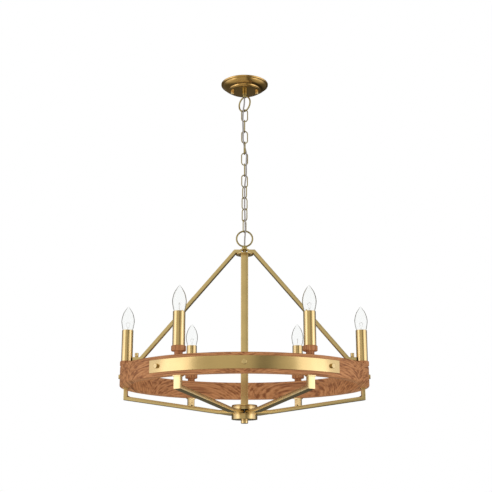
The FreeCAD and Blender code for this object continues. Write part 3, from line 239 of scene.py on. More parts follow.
def wood(name, light, middle, dark, ring_pitch, pith, streak_scale):
    """Stained open-grained wood cut from straight boards. Growth rings are circles about a pith line
    beside the piece, bent and spaced by slow noise; over them lie streaks and fine pore dashes that
    are long along the board."""
    shader = Shader(name)
    board = shader.attribute("board")
    along, across, up = shader.parts(board)
    wander = shader.noise(shader.joined(along * 3.0, across * 9.0, up * 9.0), 1.0, 1.0)
    ripple = shader.noise(shader.joined(along * 26.0, across * 90.0, up * 90.0), 1.0, 2.0)
    dy = across - pith[0]
    dz = up - pith[1]
    distance = (dy * dy + dz * dz) ** 0.5
    phase = (distance / ring_pitch + wander * 7.0 + ripple * 0.35) * (2 * math.pi)
    ring = shader.node("ShaderNodeMath", {"operation": "SINE"}, [phase]) * 0.5 + 0.5
    bent = shader.joined(along * 3.0, distance * streak_scale, (across + up) * streak_scale * 0.3)
    streak = shader.noise(bent, 1.0, 2.0, 0.5)
    pores = shader.noise(shader.joined(along * 45.0, across * 1500.0, up * 1500.0), 1.0, 2.0, 0.7)
    dashes = pores.between(0.54, 0.7)
    grain = (ring ** 1.6 * 0.5 + streak.between(0.3, 0.7) * 0.7).clamped()
    tone = shader.colours(grain, middle, light)
    tone = shader.colours(streak.between(0.55, 0.3) * 0.52 + dashes * 0.3, tone, dark)
    shader.set("Base Color", tone)
    shader.set("Roughness", dashes * 0.2 + 0.42)
    shader.bump(grain * 0.4 - dashes, 0.0002, 0.4)
    shader.set("Specular IOR Level", 0.25)
    return shader.material


def plain(name, colour, roughness, metallic=0.0, grain=0.06, scale=600.0):
    """A moulded or plated finish: one colour with a faint mottle."""
    shader = Shader(name)
    mottle = shader.noise(shader.place(), scale, 2.0)
    shade = (mottle - 0.5) * (grain * 4) + 1.0
    shader.set("Base Color", shader.shaded(shade, colour))
    shader.set("Roughness", (mottle - 0.5) * 0.2 + roughness)
    shader.set("Metallic", metallic)
    shader.bump(mottle, 0.00003, 0.4)
    return shader.material


def clear_glass(name):
    """Thin blown glass with faint waviness."""
    shader = Shader(name)
    wave = shader.noise(shader.place(), 60.0, 1.0)
    shader.set("Base Color", (0.97, 0.975, 0.97))
    shader.set("Transmission Weight", 1.0)
    shader.set("Roughness", 0.0)
    shader.set("IOR", 1.1)
    shader.bump(wave, 0.00005, 0.1)
    return shader.material


def cord_cover(name):
    """Grey cord cover over twisted strands: lighter on the strands and darker in the hollows between them,
    and that dark is painted shade.
    """
    shader = Shader(name)
    x, _, z = shader.parts(shader.place())
    twist = shader.node("ShaderNodeMath", {"operation": "SINE"}, [z * 1500.0 + x * 700.0])
    # The darker colour in the hollows between the strands is painted shade, set by the same twist as the
    # bump.
    painted_groove_shade, strand = srgb(140, 134, 134), srgb(194, 188, 186)
    shader.set("Base Color", shader.colours(twist.between(-0.6, 0.8), painted_groove_shade, strand))
    shader.set("Roughness", 0.28)
    shader.set("Coat Weight", 0.5)
    shader.set("Coat Roughness", 0.1)
    shader.bump(twist, 0.00015, 0.5)
    return shader.material


BRASS_TUBE = brass("brass_drawn", srgb(232, 206, 154), "up")
BRASS_SLEEVE = brass("brass_sleeve", srgb(222, 194, 144), "up", 0.2)
BRASS_SPUN = brass("brass_spun", srgb(214, 186, 134), "round", 0.22)
BRASS_CANOPY = brass("brass_canopy", srgb(216, 176, 112), "round", 0.2)
BRASS_BAR = brass("brass_bar", srgb(230, 206, 156), None)
BRASS_KNOB = brass("brass_knob", srgb(226, 200, 150), None, 0.18)
BRASS_CHAIN = brass("brass_chain", srgb(172, 156, 106), None, 0.22)
STEEL = plain("zinc_plate", srgb(176, 176, 172), 0.38, 1.0)
NICKEL = plain("nickel_base", srgb(206, 202, 192), 0.22, 1.0)
BLACK = plain("black_moulding", srgb(28, 27, 26), 0.4)
GREEN = plain("green_screw_paint", srgb(36, 120, 64), 0.4)
BEECH = plain("beech_dowel", srgb(206, 172, 126), 0.6, 0.0, 0.1)
GLASS = clear_glass("bulb_glass")
TUNGSTEN = plain("filament_wire", srgb(196, 192, 186), 0.3, 1.0)
CORD = cord_cover("cord_cover")
OAK_LIGHT, OAK_MIDDLE, OAK_DARK = srgb(212, 150, 100), srgb(174, 108, 64), srgb(102, 56, 32)
RIM_WOOD = wood("rim_oak", OAK_LIGHT, OAK_MIDDLE, OAK_DARK, 0.0048, (0.055, -0.03), 260.0)
CUP_WOOD = wood("cup_oak", OAK_LIGHT, OAK_MIDDLE, OAK_DARK, 0.0042, (0.02, 0.3), 700.0)


# Surfaces


def grid_faces(rows, columns, wrap_rows=False, wrap_columns=False):
    """Quads of a grid of points: row i, column j joins its next row and column."""
    i = np.arange(rows if wrap_rows else rows - 1)[:, None]
    j = np.arange(columns if wrap_columns else columns - 1)[None, :]
    a = i * columns + j
    b = i * columns + (j + 1) % columns
    c = ((i + 1) % rows) * columns + (j + 1) % columns
    d = ((i + 1) % rows) * columns + j
    return np.stack([a, b, c, d], -1).reshape(-1, 4)


def end_caps(rows, count):
    """The two faces that close a tube of that many rings, each of count points."""
    first = (rows - 1) * count
    return [list(range(count))[::-1], list(range(first, first + count))]


def piece(name, points, faces, material, body, stands_for=(), smooth=40.0, board=None):
    """Makes a mesh object of points in millimetres and lets it ride on a body."""
    mesh = bpy.data.meshes.new(name)
    mesh.from_pydata((np.asarray(points, float) * MM).tolist(), [], [list(map(int, f)) for f in faces])
    mesh.validate()
    if board is not None:
        store = mesh.attributes.new("board", "FLOAT_VECTOR", "POINT")
        store.data.foreach_set("vector", (np.asarray(board, float) * MM).astype(np.float32).ravel())
    mesh.shade_smooth()
    mesh.set_sharp_from_angle(angle=math.radians(smooth))
    mesh.materials.append(material)
    made = bpy.data.objects.new(name, mesh)
    bpy.context.scene.collection.objects.link(made)
    if body:
        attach(made, body)
    if stands_for:
        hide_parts(*stands_for)
    return made


def eased(profile, closed=True, steps=5):
    """Rounds a profile's corners. A corner is (x, y) or (x, y, radius): the arc is tangent to both
    edges, from radius * tan(half turn) before the corner to as far after it."""
    count = len(profile)
    out = []
    for i, corner in enumerate(profile):
        here = np.array(corner[:2], float)
        radius = corner[2] if len(corner) > 2 else 0
        if radius == 0 or (not closed and i in (0, count - 1)):
            out.append(here[None])
            continue
        before = np.array(profile[i - 1][:2], float)
        after = np.array(profile[(i + 1) % count][:2], float)
        into = (here - before) / np.linalg.norm(here - before)
        away = (after - here) / np.linalg.norm(after - here)
        half = math.acos(np.clip(into @ away, -1, 1)) / 2
        inward = away - into
        inward /= np.linalg.norm(inward)
        along = (into + away) / np.linalg.norm(into + away)
        centre = here + inward * radius / math.cos(half)
        turn = np.linspace(-half, half, steps + 1)[:, None]
        out.append(centre - radius * np.cos(turn) * inward + radius * np.sin(turn) * along)
    return np.vstack(out)


def turned(profile, turns=96, at=(0, 0), wave=None):
    """Surface of revolution: point (r, z) of the profile at angle a lies at (r cos a, r sin a, z).
    The profile is a closed loop of (r, z) and runs up its outer side, so faces point outwards. wave,
    if given, changes r by a function of angle, r and z."""
    angle = np.linspace(0, 2 * math.pi, turns, endpoint=False)[None, :]
    r = np.repeat(profile[:, :1], turns, 1)
    z = np.repeat(profile[:, 1:2], turns, 1)
    if wave is not None:
        r = wave(angle, r, z)
    points = np.stack([at[0] + r * np.cos(angle), at[1] + r * np.sin(angle), z], -1)
    faces = grid_faces(len(profile), turns, True, True)[:, ::-1]
    return points.reshape(-1, 3), faces


def turned_solid(profile, turns=96, at=(0, 0), wave=None):
    """Surface of revolution of an open profile whose two ends lie on the axis: the ends become
    single points with a fan of triangles each."""
    body = profile[1:-1]
    points, _ = turned(body, turns, at, wave)
    faces = grid_faces(len(body), turns, False, True)[:, ::-1]
    rows = len(body)
    first, last = len(points), len(points) + 1
    ends = np.array([[at[0], at[1], profile[0][1]], [at[0], at[1], profile[-1][1]]])
    j = np.arange(turns)
    after = (j + 1) % turns
    low = np.stack([np.full(turns, first), after, j], -1)
    top = (rows - 1) * turns
    high = np.stack([np.full(turns, last), top + j, top + after], -1)
    return np.vstack([points, ends]), [*faces.tolist(), *low.tolist(), *high.tolist()]


def merged(parts):
    """Several meshes as one list of points and faces."""
    points, faces, start = [], [], 0
    for some_points, some_faces in parts:
        points.append(some_points)
        faces += [[int(v) + start for v in f] for f in some_faces]
        start += len(some_points)
    return np.vstack(points), faces


def turned_about(points, angle):
    """Points turned by an angle in degrees about the hanging axis."""
    a = math.radians(angle)
    spin = np.array([[math.cos(a), -math.sin(a), 0], [math.sin(a), math.cos(a), 0], [0, 0, 1]])
    return np.asarray(points) @ spin.T


def capped_tube(centres, radius, sides=16, reference=(0, 1, 0), closed=False):
    """Round tube about a line of points. At each point the ring lies across the line: its two axes
    are reference x tangent, and tangent x that. radius may be one number or one per point."""
    centres = np.asarray(centres, float)
    if closed:
        tangent = np.roll(centres, -1, 0) - np.roll(centres, 1, 0)
    else:
        tangent = np.gradient(centres, axis=0)
    tangent /= np.linalg.norm(tangent, axis=1)[:, None]
    side = np.cross(np.array(reference, float)[None], tangent)
    side /= np.linalg.norm(side, axis=1)[:, None]
    other = np.cross(tangent, side)
    a = np.linspace(0, 2 * math.pi, sides, endpoint=False)
    size = np.broadcast_to(np.asarray(radius, float), (len(centres),))[:, None, None]
    ring = np.cos(a)[None, :, None] * side[:, None] + np.sin(a)[None, :, None] * other[:, None]
    points = (centres[:, None] + size * ring).reshape(-1, 3)
    faces = grid_faces(len(centres), sides, closed, True).tolist()
    if not closed:
        faces += end_caps(len(centres), sides)
    return points, faces


def bar_section(wide, deep, wall, edge):
    """Outline of a rectangular tube: the outer loop with rounded corners, then the inner loop."""
    loops = []
    for shrink, radius in ((0, edge), (wall, max(edge - wall, 0.3))):
        w, d = wide / 2 - shrink, deep / 2 - shrink
        corners = [(-w, -d, radius), (w, -d, radius), (w, d, radius), (-w, d, radius)]
        loops.append(eased(corners, True, 4))
    return loops


def bent_bar(path, wide=BAR_WIDE, deep=BAR_DEEP, wall=BAR_WALL, edge=1.3):
    """Rectangular tube along a bent line in the (distance out, height) plane. At every point the
    section's depth lies across the line, stretched to meet in a mitre at a bend, and its width along
    Y. The outer and inner skins are joined by a rim at both ends."""
    line = np.array(path, float)
    steps = np.diff(line, axis=0)
    unit = steps / np.linalg.norm(steps, axis=1)[:, None]
    into = np.vstack([unit[:1], unit])
    away = np.vstack([unit, unit[-1:]])
    normal = np.stack([-(into + away)[:, 1], (into + away)[:, 0]], -1)
    normal /= np.linalg.norm(normal, axis=1)[:, None]
    stretch = 1 / np.sum(normal * np.stack([-into[:, 1], into[:, 0]], -1), axis=1)
    outer, inner = bar_section(wide, deep, wall, edge)
    count = len(outer)
    skins = []
    for loop in (outer, inner):
        across = loop[None, :, 1] * stretch[:, None]
        x = line[:, :1] + across * normal[:, :1]
        z = line[:, 1:2] + across * normal[:, 1:2]
        y = np.repeat(loop[None, :, 0], len(line), 0)
        skins.append(np.stack([x, y, z], -1).reshape(-1, 3))
    faces = grid_faces(len(line), count, False, True)
    start = len(skins[0])
    j = np.arange(count)
    after = (j + 1) % count
    last = (len(line) - 1) * count
    near = np.stack([j, start + j, start + after, after], -1)
    far = np.stack([last + j, last + after, start + last + after, start + last + j], -1)
    sides = [*faces[:, ::-1].tolist(), *(faces + start).tolist()]
    rims = [*near[:, ::-1].tolist(), *far[:, ::-1].tolist()]
    return np.vstack(skins), sides + rims


def face_out(made):
    """Turns every face of a closed mesh outwards."""
    mesh = bmesh.new()
    mesh.from_mesh(made.data)
    bmesh.ops.recalc_face_normals(mesh, faces=mesh.faces)
    mesh.to_mesh(made.data)
    mesh.free()
    return made


def finish_cad(material, *names):
    """Gives kept solids a material."""
    for name in names:
        slots = nodes[name].data.materials
        slots.clear()
        slots.append(material)


def candle_places():
    angles = [math.radians(index * 360 / CANDLES) for index in range(CANDLES)]
    return [(CANDLE_CIRCLE * math.cos(a), CANDLE_CIRCLE * math.sin(a)) for a in angles]


# Camera, light and room


def make_camera():
    """Stands 2.5 m in front, a little below the wheel, and looks up to the canopy."""
    data = bpy.data.cameras.new("camera")
    data.sensor_width = 36.0
    data.lens = 68.89
    data.clip_end = 50.0
    made = bpy.data.objects.new("camera", data)
    made.location = (0.004, -2.5189, (WHEEL_Z - 299.7) * MM)
    made.rotation_euler = (math.radians(90 + 14.81), 0, 0)
    bpy.context.scene.collection.objects.link(made)
    bpy.context.scene.camera = made


def make_room():
    """White surroundings for the eye and through glass. Metal sees that white at its left and right,
    and a dimmer, warmer room in front, below and behind. Two tall soft boxes, and a pale floor that
    metal doesn't see."""
    world = bpy.data.worlds.new("studio")
    bpy.context.scene.world = world
    world.use_nodes = True
    world.node_tree.nodes.clear()
    room = Nodes(world.node_tree)
    x, y, z = room.parts(room.node("ShaderNodeTexCoord"))
    left = (x * -1.0).between(0.6, 1.0)
    right = x.between(0.65, 1.0)
    spot = x.between(0.05, 0.25) - x.between(0.3, 0.6)
    over = z.between(0.4, 1.0) * 0.3
    under = (z * -1.0).between(0.1, 0.6) * 0.14
    front = (left + right) * 0.52 - spot * 0.42 + over - under + 0.66
    level = front * (1.0 - y.between(0.05, 0.6) * 0.8)
    warmth = 1.0 - (left + right).clamped()
    tint = room.joined(level, level * (1.0 - warmth * 0.05), level * (1.0 - warmth * 0.28))
    metal = room.node("ShaderNodeBackground", {}, [tint, 1.0])
    soft = room.node("ShaderNodeBackground", {}, [None, 0.5])
    soft.socket.node.inputs[0].default_value = (1, 0.99, 0.97, 1)
    white = room.node("ShaderNodeBackground", {}, [None, 1.0])
    white.socket.node.inputs[0].default_value = (1, 1, 1, 1)
    rays = room.node("ShaderNodeLightPath").socket.node
    camera, glossy, through = (
        Value(room, rays.outputs[f"Is {kind} Ray"]) for kind in ("Camera", "Glossy", "Transmission")
    )
    shown = room.mixed(glossy, soft, metal)
    shown = room.mixed(camera.maths("MAXIMUM", through), shown, white)
    room.node("ShaderNodeOutputWorld", {}, [shown])

    for side in (-1, 1):
        data = bpy.data.lights.new(f"soft_box_{side}", "AREA")
        data.shape = "RECTANGLE"
        data.size = 1.3
        data.size_y = 2.6
        data.energy = 9.0
        made = bpy.data.objects.new(data.name, data)
        made.location = (side * 2.1, -1.25, -0.75)
        aim = Vector((0, 0, -0.7)) - made.location
        made.rotation_euler = aim.to_track_quat("-Z", "Y").to_euler()
        bpy.context.scene.collection.objects.link(made)

    shader = Shader("pale_floor")
    shader.set("Base Color", (0.86, 0.86, 0.85))
    shader.set("Roughness", 0.7)
    shader.set("Emission Color", (1.0, 1.0, 1.0))
    shader.set("Emission Strength", 0.36)
    bpy.ops.mesh.primitive_plane_add(size=80, location=(0, 0, -2.35))
    floor = bpy.context.object
    floor.name = "floor"
    floor.visible_glossy = False
    floor.data.materials.append(shader.material)
    bpy.context.scene.view_settings.view_transform = "Standard"


# Ceiling end


def make_canopy():
    """Spun shell: outer skin down from the rim to the flat plate, then back up inside."""
    outer = [
        (4.85, CANOPY_Z),
        (41.0, CANOPY_Z, 5.0),
        (43.6, CANOPY_Z + 2.5, 0.8),
        (45.5, CANOPY_Z + 2.5, 0.6),
        (46.0, CANOPY_Z + 5.5, 0.5),
    ]
    dome = arc_points((46.0, CANOPY_Z + 5.5), (63.5, -5.0), 24.0)
    lip = arc_points((64.0, -5.5), (67.5, -2.0), 3.6)
    skin = np.vstack([eased(outer, False)[:-1], dome, lip, [[67.5, -0.3], [67.2, 0.0], [66.5, 0.0]]])
    inside = np.array(
        [[66.5, -2.0], [63.6, -4.2], [45.0, -16.0], [44.0, -19.0], [40.0, -21.5], [4.85, -21.5]]
    )
    points, faces = turned(np.vstack([skin, inside]), 224)
    piece("canopy_shell", points, faces, BRASS_CANOPY, "canopy_set", ("canopy",))


def arc_points(start, end, radius, steps=14):
    """Points of the arc from start to end that bulges to the right, away from the shell's inside."""
    start, end = np.array(start, float), np.array(end, float)
    chord = end - start
    length = np.linalg.norm(chord)
    half = math.asin(length / 2 / radius)
    along = chord / length
    right = np.array([along[1], -along[0]])
    centre = (start + end) / 2 - right * radius * math.cos(half)
    turn = np.linspace(-half, half, steps)[:, None]
    return centre + radius * (np.cos(turn) * right + np.sin(turn) * along)


def knurled(angle, r, z):
    """Fine straight knurling: the radius dips by a small cosine of the angle on the outer wall."""
    return np.where(r > 3.9, r - 0.12 * (1 + np.cos(36 * angle)) / 2, r)


def make_canopy_nuts():
    parts = []
    for side in (-1, 1):
        profile = eased(
            [
                (0, CANOPY_Z - 8),
                (4.2, CANOPY_Z - 8, 1.1),
                (4.2, CANOPY_Z, 0.3),
                (2.2, CANOPY_Z),
                (2.2, -23.2),
                (0, -23.2),
            ],
            False,
        )
        parts.append(turned_solid(profile, 72, (side * 35.0, 0), knurled))
    points, faces = merged(parts)
    piece("canopy_nut_pair", points, faces, BRASS_KNOB, "canopy_set", ("canopy_nuts",), 30)


def loop_ring(centre_z, turn):
    """Cast ring: a circle of wire that stands upright, turned about the hanging axis."""
    a = np.linspace(0, 2 * math.pi, 120, endpoint=False)
    circle = LOOP_RADIUS * np.stack([np.cos(a), np.zeros_like(a), np.sin(a)], -1)
    points, faces = capped_tube(circle + [0, 0, centre_z], LOOP_WIRE, 28, (0, 1, 0), True)
    return turned_about(points, turn), faces


def make_loops():
    top, low = CANOPY_Z, CANOPY_Z - 18
    collar = eased(
        [(2.3, low), (5.6, low, 0.5), (5.6, low + 6.5), (7.2, low + 8.0, 0.5), (7.2, top, 0.4), (2.3, top)]
    )
    stem = np.array([(2.3, -30), (4.75, -30), (4.75, -13.5), (2.3, -13.5)])
    points, faces = merged([loop_ring(LOOP_Z, -45), turned(collar, 64), turned(stem, 48)])
    piece("canopy_loop_casting", points, faces, BRASS_CHAIN, "canopy_set", ("canopy_loop",))
    base, top = COLLAR_Z, COLLAR_Z + 10
    collar = eased([(2.3, base), (7.2, base, 0.4), (7.2, base + 5.0, 0.4), (5.6, top, 0.6), (2.3, top)])
    stem = np.array([(2.3, -523.5), (4.75, -523.5), (4.75, base + 3), (2.3, base + 3)])
    points, faces = merged([loop_ring(FRAME_LOOP_Z, 0), turned(collar, 64), turned(stem, 48)])
    piece("frame_loop_casting", points, faces, BRASS_CHAIN, "wheel_frame", ("frame_loop",))


def link_line(count=150):
    """Centre line of a link in its own plane: two half circles joined by straight sides, with points
    spread evenly by length."""
    bow, side = LINK_WIDTH / 2 - LINK_WIRE, (LINK_LENGTH - LINK_WIDTH) / 2
    lengths = np.array([2 * side, math.pi * bow, 2 * side, math.pi * bow])
    s = np.linspace(0, lengths.sum(), count, endpoint=False)
    a, b, c, _ = np.cumsum(lengths)
    turn_top = (s - a) / bow
    turn_low = (s - c) / bow
    where = [s < a, s < b, s < c]
    u = np.select(where, [bow + 0 * s, bow * np.cos(turn_top), -bow + 0 * s], -bow * np.cos(turn_low))
    rise = [s - side, side + bow * np.sin(turn_top), side - (s - b)]
    v = np.select(where, rise, -side - bow * np.sin(turn_low))
    return s, np.stack([u, np.zeros_like(u), v], -1)


def make_chain():
    """Eleven links of round wire, each with a faint weld bead in the middle of one side."""
    s, line = link_line()
    for index, turn in enumerate(LINK_TURNS):
        middle = LINK_LENGTH - LINK_WIDTH
        bead = LINK_WIRE * (1 - 0.05 * np.exp(-(((s - middle / 2) / 0.7) ** 2)))
        points, faces = capped_tube(line, bead, 20, (0, 1, 0), True)
        points = turned_about(points, turn) + [0, 0, LINK_TOP_Z - index * LINK_PITCH]
        name = f"chain_link_{index + 1:02d}"
        piece(f"link_wire_{index + 1:02d}", points, faces, BRASS_CHAIN, name, (name,))


# The same points as the route of the cord in the source, from the canopy to the hub.
CORD_ROUTE = [
    (0, 0, -7.5),
    (0, 0, -57.0),
    (-4.0, -5.1, -80.73),
    (-5.2, -3.9, -113.77),
    (-4.0, -6.1, -146.81),
    (-4.6, -5.0, -179.85),
    (6.4, -3.6, -212.89),
    (4.3, -5.8, -245.93),
    (5.1, -4.2, -278.97),
    (-0.3, -7.5, -312.01),
    (0.3, -6.8, -345.05),
    (0.1, -6.6, -378.09),
    (1.3, -6.6, -411.13),
    (2.5, -6.0, -444.17),
    (0, 0, -467.14),
    (0, 0, -548.04),
    (2.2, 1.4, -595.63),
    (-1.8, 2.4, -643.23),
    (1.6, -1.5, -690.82),
    (-2.1, 0.8, -738.41),
    (1.5, 2.6, -786.01),
    (-0.8, 4.2, -833.6),
    (0, 5.5, -881.19),
    (0, 5.5, -945.99),
]


def smooth_line(route):
    """Points of a smooth curve through the region of a route, as the modeller's own spline gives."""
    data = bpy.data.curves.new("route", "CURVE")
    data.dimensions = "3D"
    data.resolution_u = 24
    spline = data.splines.new("NURBS")
    spline.points.add(len(route) - 1)
    for point, place in zip(spline.points, route):
        point.co = (*place, 1)
    spline.order_u = 3
    spline.use_endpoint_u = True
    holder = bpy.data.objects.new("route", data)
    bpy.context.scene.collection.objects.link(holder)
    bpy.context.view_layer.update()
    mesh = bpy.data.meshes.new_from_object(holder.evaluated_get(bpy.context.evaluated_depsgraph_get()))
    line = np.empty(len(mesh.vertices) * 3)
    mesh.vertices.foreach_get("co", line)
    bpy.data.objects.remove(holder)
    bpy.data.curves.remove(data)
    bpy.data.meshes.remove(mesh)
    return line.reshape(-1, 3)


def make_cord():
    """The cord in stretches that meet at the middle of each link."""
    line = smooth_line(CORD_ROUTE)
    middles = [LINK_TOP_Z - index * LINK_PITCH for index in range(len(LINK_TURNS))]
    links = [f"chain_link_{index + 1:02d}" for index in range(len(LINK_TURNS))]
    bodies = ["canopy_set", *links, "wheel_frame"]
    cuts = [line[0, 2], *middles, line[-1, 2]]
    first_contact = LOOP_Z - LOOP_RADIUS
    last_contact = FRAME_LOOP_Z + LOOP_RADIUS
    for index in range(len(bodies) - 1):
        high, low = cuts[index], cuts[index + 1]
        inside = (line[:, 2] < high - 0.01) & (line[:, 2] > low + 0.01)
        first, last = (
            [*(np.interp(-level, -line[:, 2], line[:, k]) for k in range(2)), level] for level in (high, low)
        )
        stretch = np.vstack([first, line[inside], last])
        points, faces = capped_tube(stretch, 2.0, 16, (0, 1, 0))
        name = f"cord_stretch_{index + 1:02d}"
        replaced = ("power_cord",) if index == 0 else ()
        made = piece(name, points, faces, CORD, None, replaced, 60)
        face_out(made)
        start = high if index else first_contact + 14
        end = low if index < len(bodies) - 2 else last_contact - 14
        start * MM
        end * MM
        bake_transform(made)


# Frame top, straps and tube


def make_frame_top():
    washer = eased([(4.85, STRAP_TOP_Z), (12, STRAP_TOP_Z, 0.4), (12, COLLAR_Z, 0.8), (4.85, COLLAR_Z)])
    points, faces = turned(washer, 96)
    piece("top_washer_disc", points, faces, BRASS_SPUN, "wheel_frame", ("top_washer",))
    top = PLATE_Z + 3.5
    plate = eased([(4.85, PLATE_Z), (24.3, PLATE_Z, 0.4), (24.3, top, 2.0), (4.85, top)])
    points, faces = turned(plate, 128)
    piece("top_plate_disc", points, faces, BRASS_SPUN, "wheel_frame", ("top_plate",))


def make_straps():
    level = STRAP_TOP_Z - 5
    foot = CUP_TOP_Z + 0.3 + 5
    for name, turn in (("strap_right", 0), ("strap_left", 180)):
        points, faces = bent_bar([(8, level), (26, level), (278, foot), (299.4, foot)])
        points = turned_about(points, turn)
        made = piece(f"{name}_bar", points, faces, BRASS_BAR, "wheel_frame", (name,), 35)
        face_out(made)


def make_foot_knobs():
    """Slim round knobs with a groove under the head, on the feet of the straps."""
    parts = []
    top = CUP_TOP_Z + 10.3
    for side in (-1, 1):
        knob = eased(
            [
                (0, top),
                (3.6, top),
                (3.6, top + 1.4),
                (4.8, top + 2.0, 0.3),
                (4.8, top + 12, 0.9),
                (0, top + 12),
            ],
            False,
        )
        shank_low = RIM_TOP_Z + 1.8
        shank = np.array([(0, shank_low), (2.0, shank_low), (2.0, top + 0.5), (0, top + 0.5)])
        place = (side * 289.5, 0)
        parts += [turned_solid(knob, 64, place), turned_solid(shank, 32, place)]
    points, faces = merged(parts)
    piece("strap_foot_knobs", points, faces, BRASS_KNOB, "wheel_frame", ("foot_knobs",))


def make_centre_tube():
    """Square tube with softly rounded corners."""
    outer, inner = bar_section(20, 20, 1.5, 1.6)
    rings = [(outer, CAP_TOP_Z), (outer, PLATE_Z), (inner, PLATE_Z), (inner, CAP_TOP_Z)]
    points = np.vstack([np.column_stack([loop, np.full(len(loop), z)]) for loop, z in rings])
    faces = grid_faces(4, len(outer), True, True)
    made = piece("square_tube", points, faces, BRASS_TUBE, "wheel_frame", ("centre_tube",), 35)
    face_out(made)


# Hub, arms and wheel


def make_hub():
    cap_base, cup_edge = HUB_Z + 5.15, HUB_Z - 5.15
    cap = eased(
        [
            (2.6, CAP_TOP_Z - 1.5),
            (32.7, CAP_TOP_Z - 1.5, 1.5),
            (32.7, cap_base),
            (34.2, cap_base, 0.4),
            (34.2, CAP_TOP_Z, 3.0),
            (2.6, CAP_TOP_Z),
        ]
    )
    points, faces = turned(cap, 160)
    piece("hub_upper_shell", points, faces, BRASS_SPUN, "wheel_frame", ("hub_cap",))
    cup = eased(
        [
            (2.6, CUP_BASE_Z),
            (34.2, CUP_BASE_Z, 1.2),
            (34.2, cup_edge, 0.4),
            (32.7, cup_edge),
            (32.7, CUP_BASE_Z + 1.5, 1.0),
            (2.6, CUP_BASE_Z + 1.5),
        ]
    )
    points, faces = turned(cup, 160)
    piece("hub_lower_shell", points, faces, BRASS_SPUN, "wheel_frame", ("hub_cup",))
    base = CUP_BASE_Z
    finial = eased(
        [
            (0, base - 10),
            (9.6, base - 10, 1.6),
            (9.6, base - 1.6, 0.3),
            (8.9, base - 1.2),
            (8.9, base - 0.8),
            (10, base - 0.6),
            (10, base),
            (2.5, base),
            (2.5, CAP_TOP_Z + 20),
            (0, CAP_TOP_Z + 20),
        ],
        False,
    )
    points, faces = turned_solid(finial, 96)
    piece("hub_finial_nut", points, faces, BRASS_SPUN, "wheel_frame", ("hub_finial",))


def make_arms():
    """Six bent bars, each with a square flange on its post under the rim."""
    flange_low = RIM_BASE_Z - 3
    parts = []
    for index in range(CANDLES):
        knee, head = (CANDLE_CIRCLE, WHEEL_Z - 52), (CANDLE_CIRCLE, flange_low + 0.02)
        bar = bent_bar([(20, HUB_Z), (70, HUB_Z), knee, head])
        w, d = 7.0, 12.0
        outline = eased([(-w, -d, 0.8), (w, -d, 0.8), (w, d, 0.8), (-w, d, 0.8)], True, 3)
        flange = np.vstack(
            [
                np.column_stack([outline * scale + [CANDLE_CIRCLE, 0], np.full(len(outline), z)])
                for scale, z in ((0.97, flange_low), (1.0, flange_low + 0.3), (1.0, RIM_BASE_Z))
            ]
        )
        count = len(outline)
        faces = grid_faces(3, count, False, True).tolist()
        faces += end_caps(3, count)
        angle = index * 360 / CANDLES
        parts.append((turned_about(bar[0], angle), bar[1]))
        parts.append((turned_about(flange, angle), faces))
    points, faces = merged(parts)
    made = piece("arm_bars", points, faces, BRASS_BAR, "wheel_frame", ("arms",), 35)
    face_out(made)


def make_rim():
    """Six curved segments. The section is a rectangle with eased edges, swept about the axis by its
    angle; each segment keeps the straight grain of the board that it was cut from."""
    section = eased(
        [
            (RIM_INNER, RIM_BASE_Z, 1.2),
            (RIM_OUTER, RIM_BASE_Z, 1.2),
            (RIM_OUTER, RIM_TOP_Z, 1.2),
            (RIM_INNER, RIM_TOP_Z, 1.2),
        ],
        True,
        3,
    )
    middle = np.array([(RIM_INNER + RIM_OUTER) / 2, WHEEL_Z])
    count = len(section)
    parts, boards = [], []
    shifts = np.random.default_rng(4).uniform(-1, 1, (6, 3)) * [400, 14, 40]
    for index in range(6):
        half = math.radians(30)
        turn = np.linspace(-half, half, 41)
        ease = 1 - 0.012 * np.exp(-((half - np.abs(turn)) / 0.0009))
        ring = middle + (section - middle)[None] * ease[:, None, None]
        a = turn[:, None]
        flat = np.stack([ring[..., 0] * np.cos(a), ring[..., 0] * np.sin(a), ring[..., 1]], -1)
        flat = flat.reshape(-1, 3)
        faces = grid_faces(len(turn), count, False, True).tolist()
        faces += end_caps(len(turn), count)
        flip = -1 if index % 2 else 1
        board = np.column_stack([flat[:, 1] * flip, flat[:, 0] - 300, flat[:, 2] - WHEEL_Z])
        parts.append((turned_about(flat, index * 60), faces))
        boards.append(board + shifts[index])
    points, faces = merged(parts)
    board = np.vstack(boards)
    made = piece(
        "rim_segments", points, faces, RIM_WOOD, "wheel_frame", ("felloes",), 50, board
    )
    face_out(made)


def make_bands():
    """Flat brass strips bent round the rim, with eased edges."""
    half_height = 15.5
    section = eased(
        [
            (RIM_OUTER + 0.02, WHEEL_Z - half_height),
            (RIM_OUTER + 2, WHEEL_Z - half_height, 0.5),
            (RIM_OUTER + 2, WHEEL_Z + half_height, 0.5),
            (RIM_OUTER + 0.02, WHEEL_Z + half_height),
        ],
        True,
        3,
    )
    count = len(section)
    turn = np.linspace(-math.radians(44), math.radians(44), 97)[:, None]
    for name, middle in (("band_front", 270), ("band_back", 90)):
        radius, height = section[None, :, 0], section[None, :, 1] + 0 * turn
        points = np.stack([radius * np.cos(turn), radius * np.sin(turn), height], -1)
        faces = grid_faces(len(turn), count, False, True).tolist()
        faces += end_caps(len(turn), count)
        points = turned_about(points.reshape(-1, 3), middle)
        made = piece(f"{name}_strip", points, faces, BRASS_SPUN, "wheel_frame", (name,), 35)
        face_out(made)


def rim_screw_places():
    places = [(middle + turn, 0.0, 2.0) for middle in (90, 270) for turn in (-39.5, 0, 39.5)]
    return places + [(0, 5.0, 0.0), (180, 5.0, 0.0)]


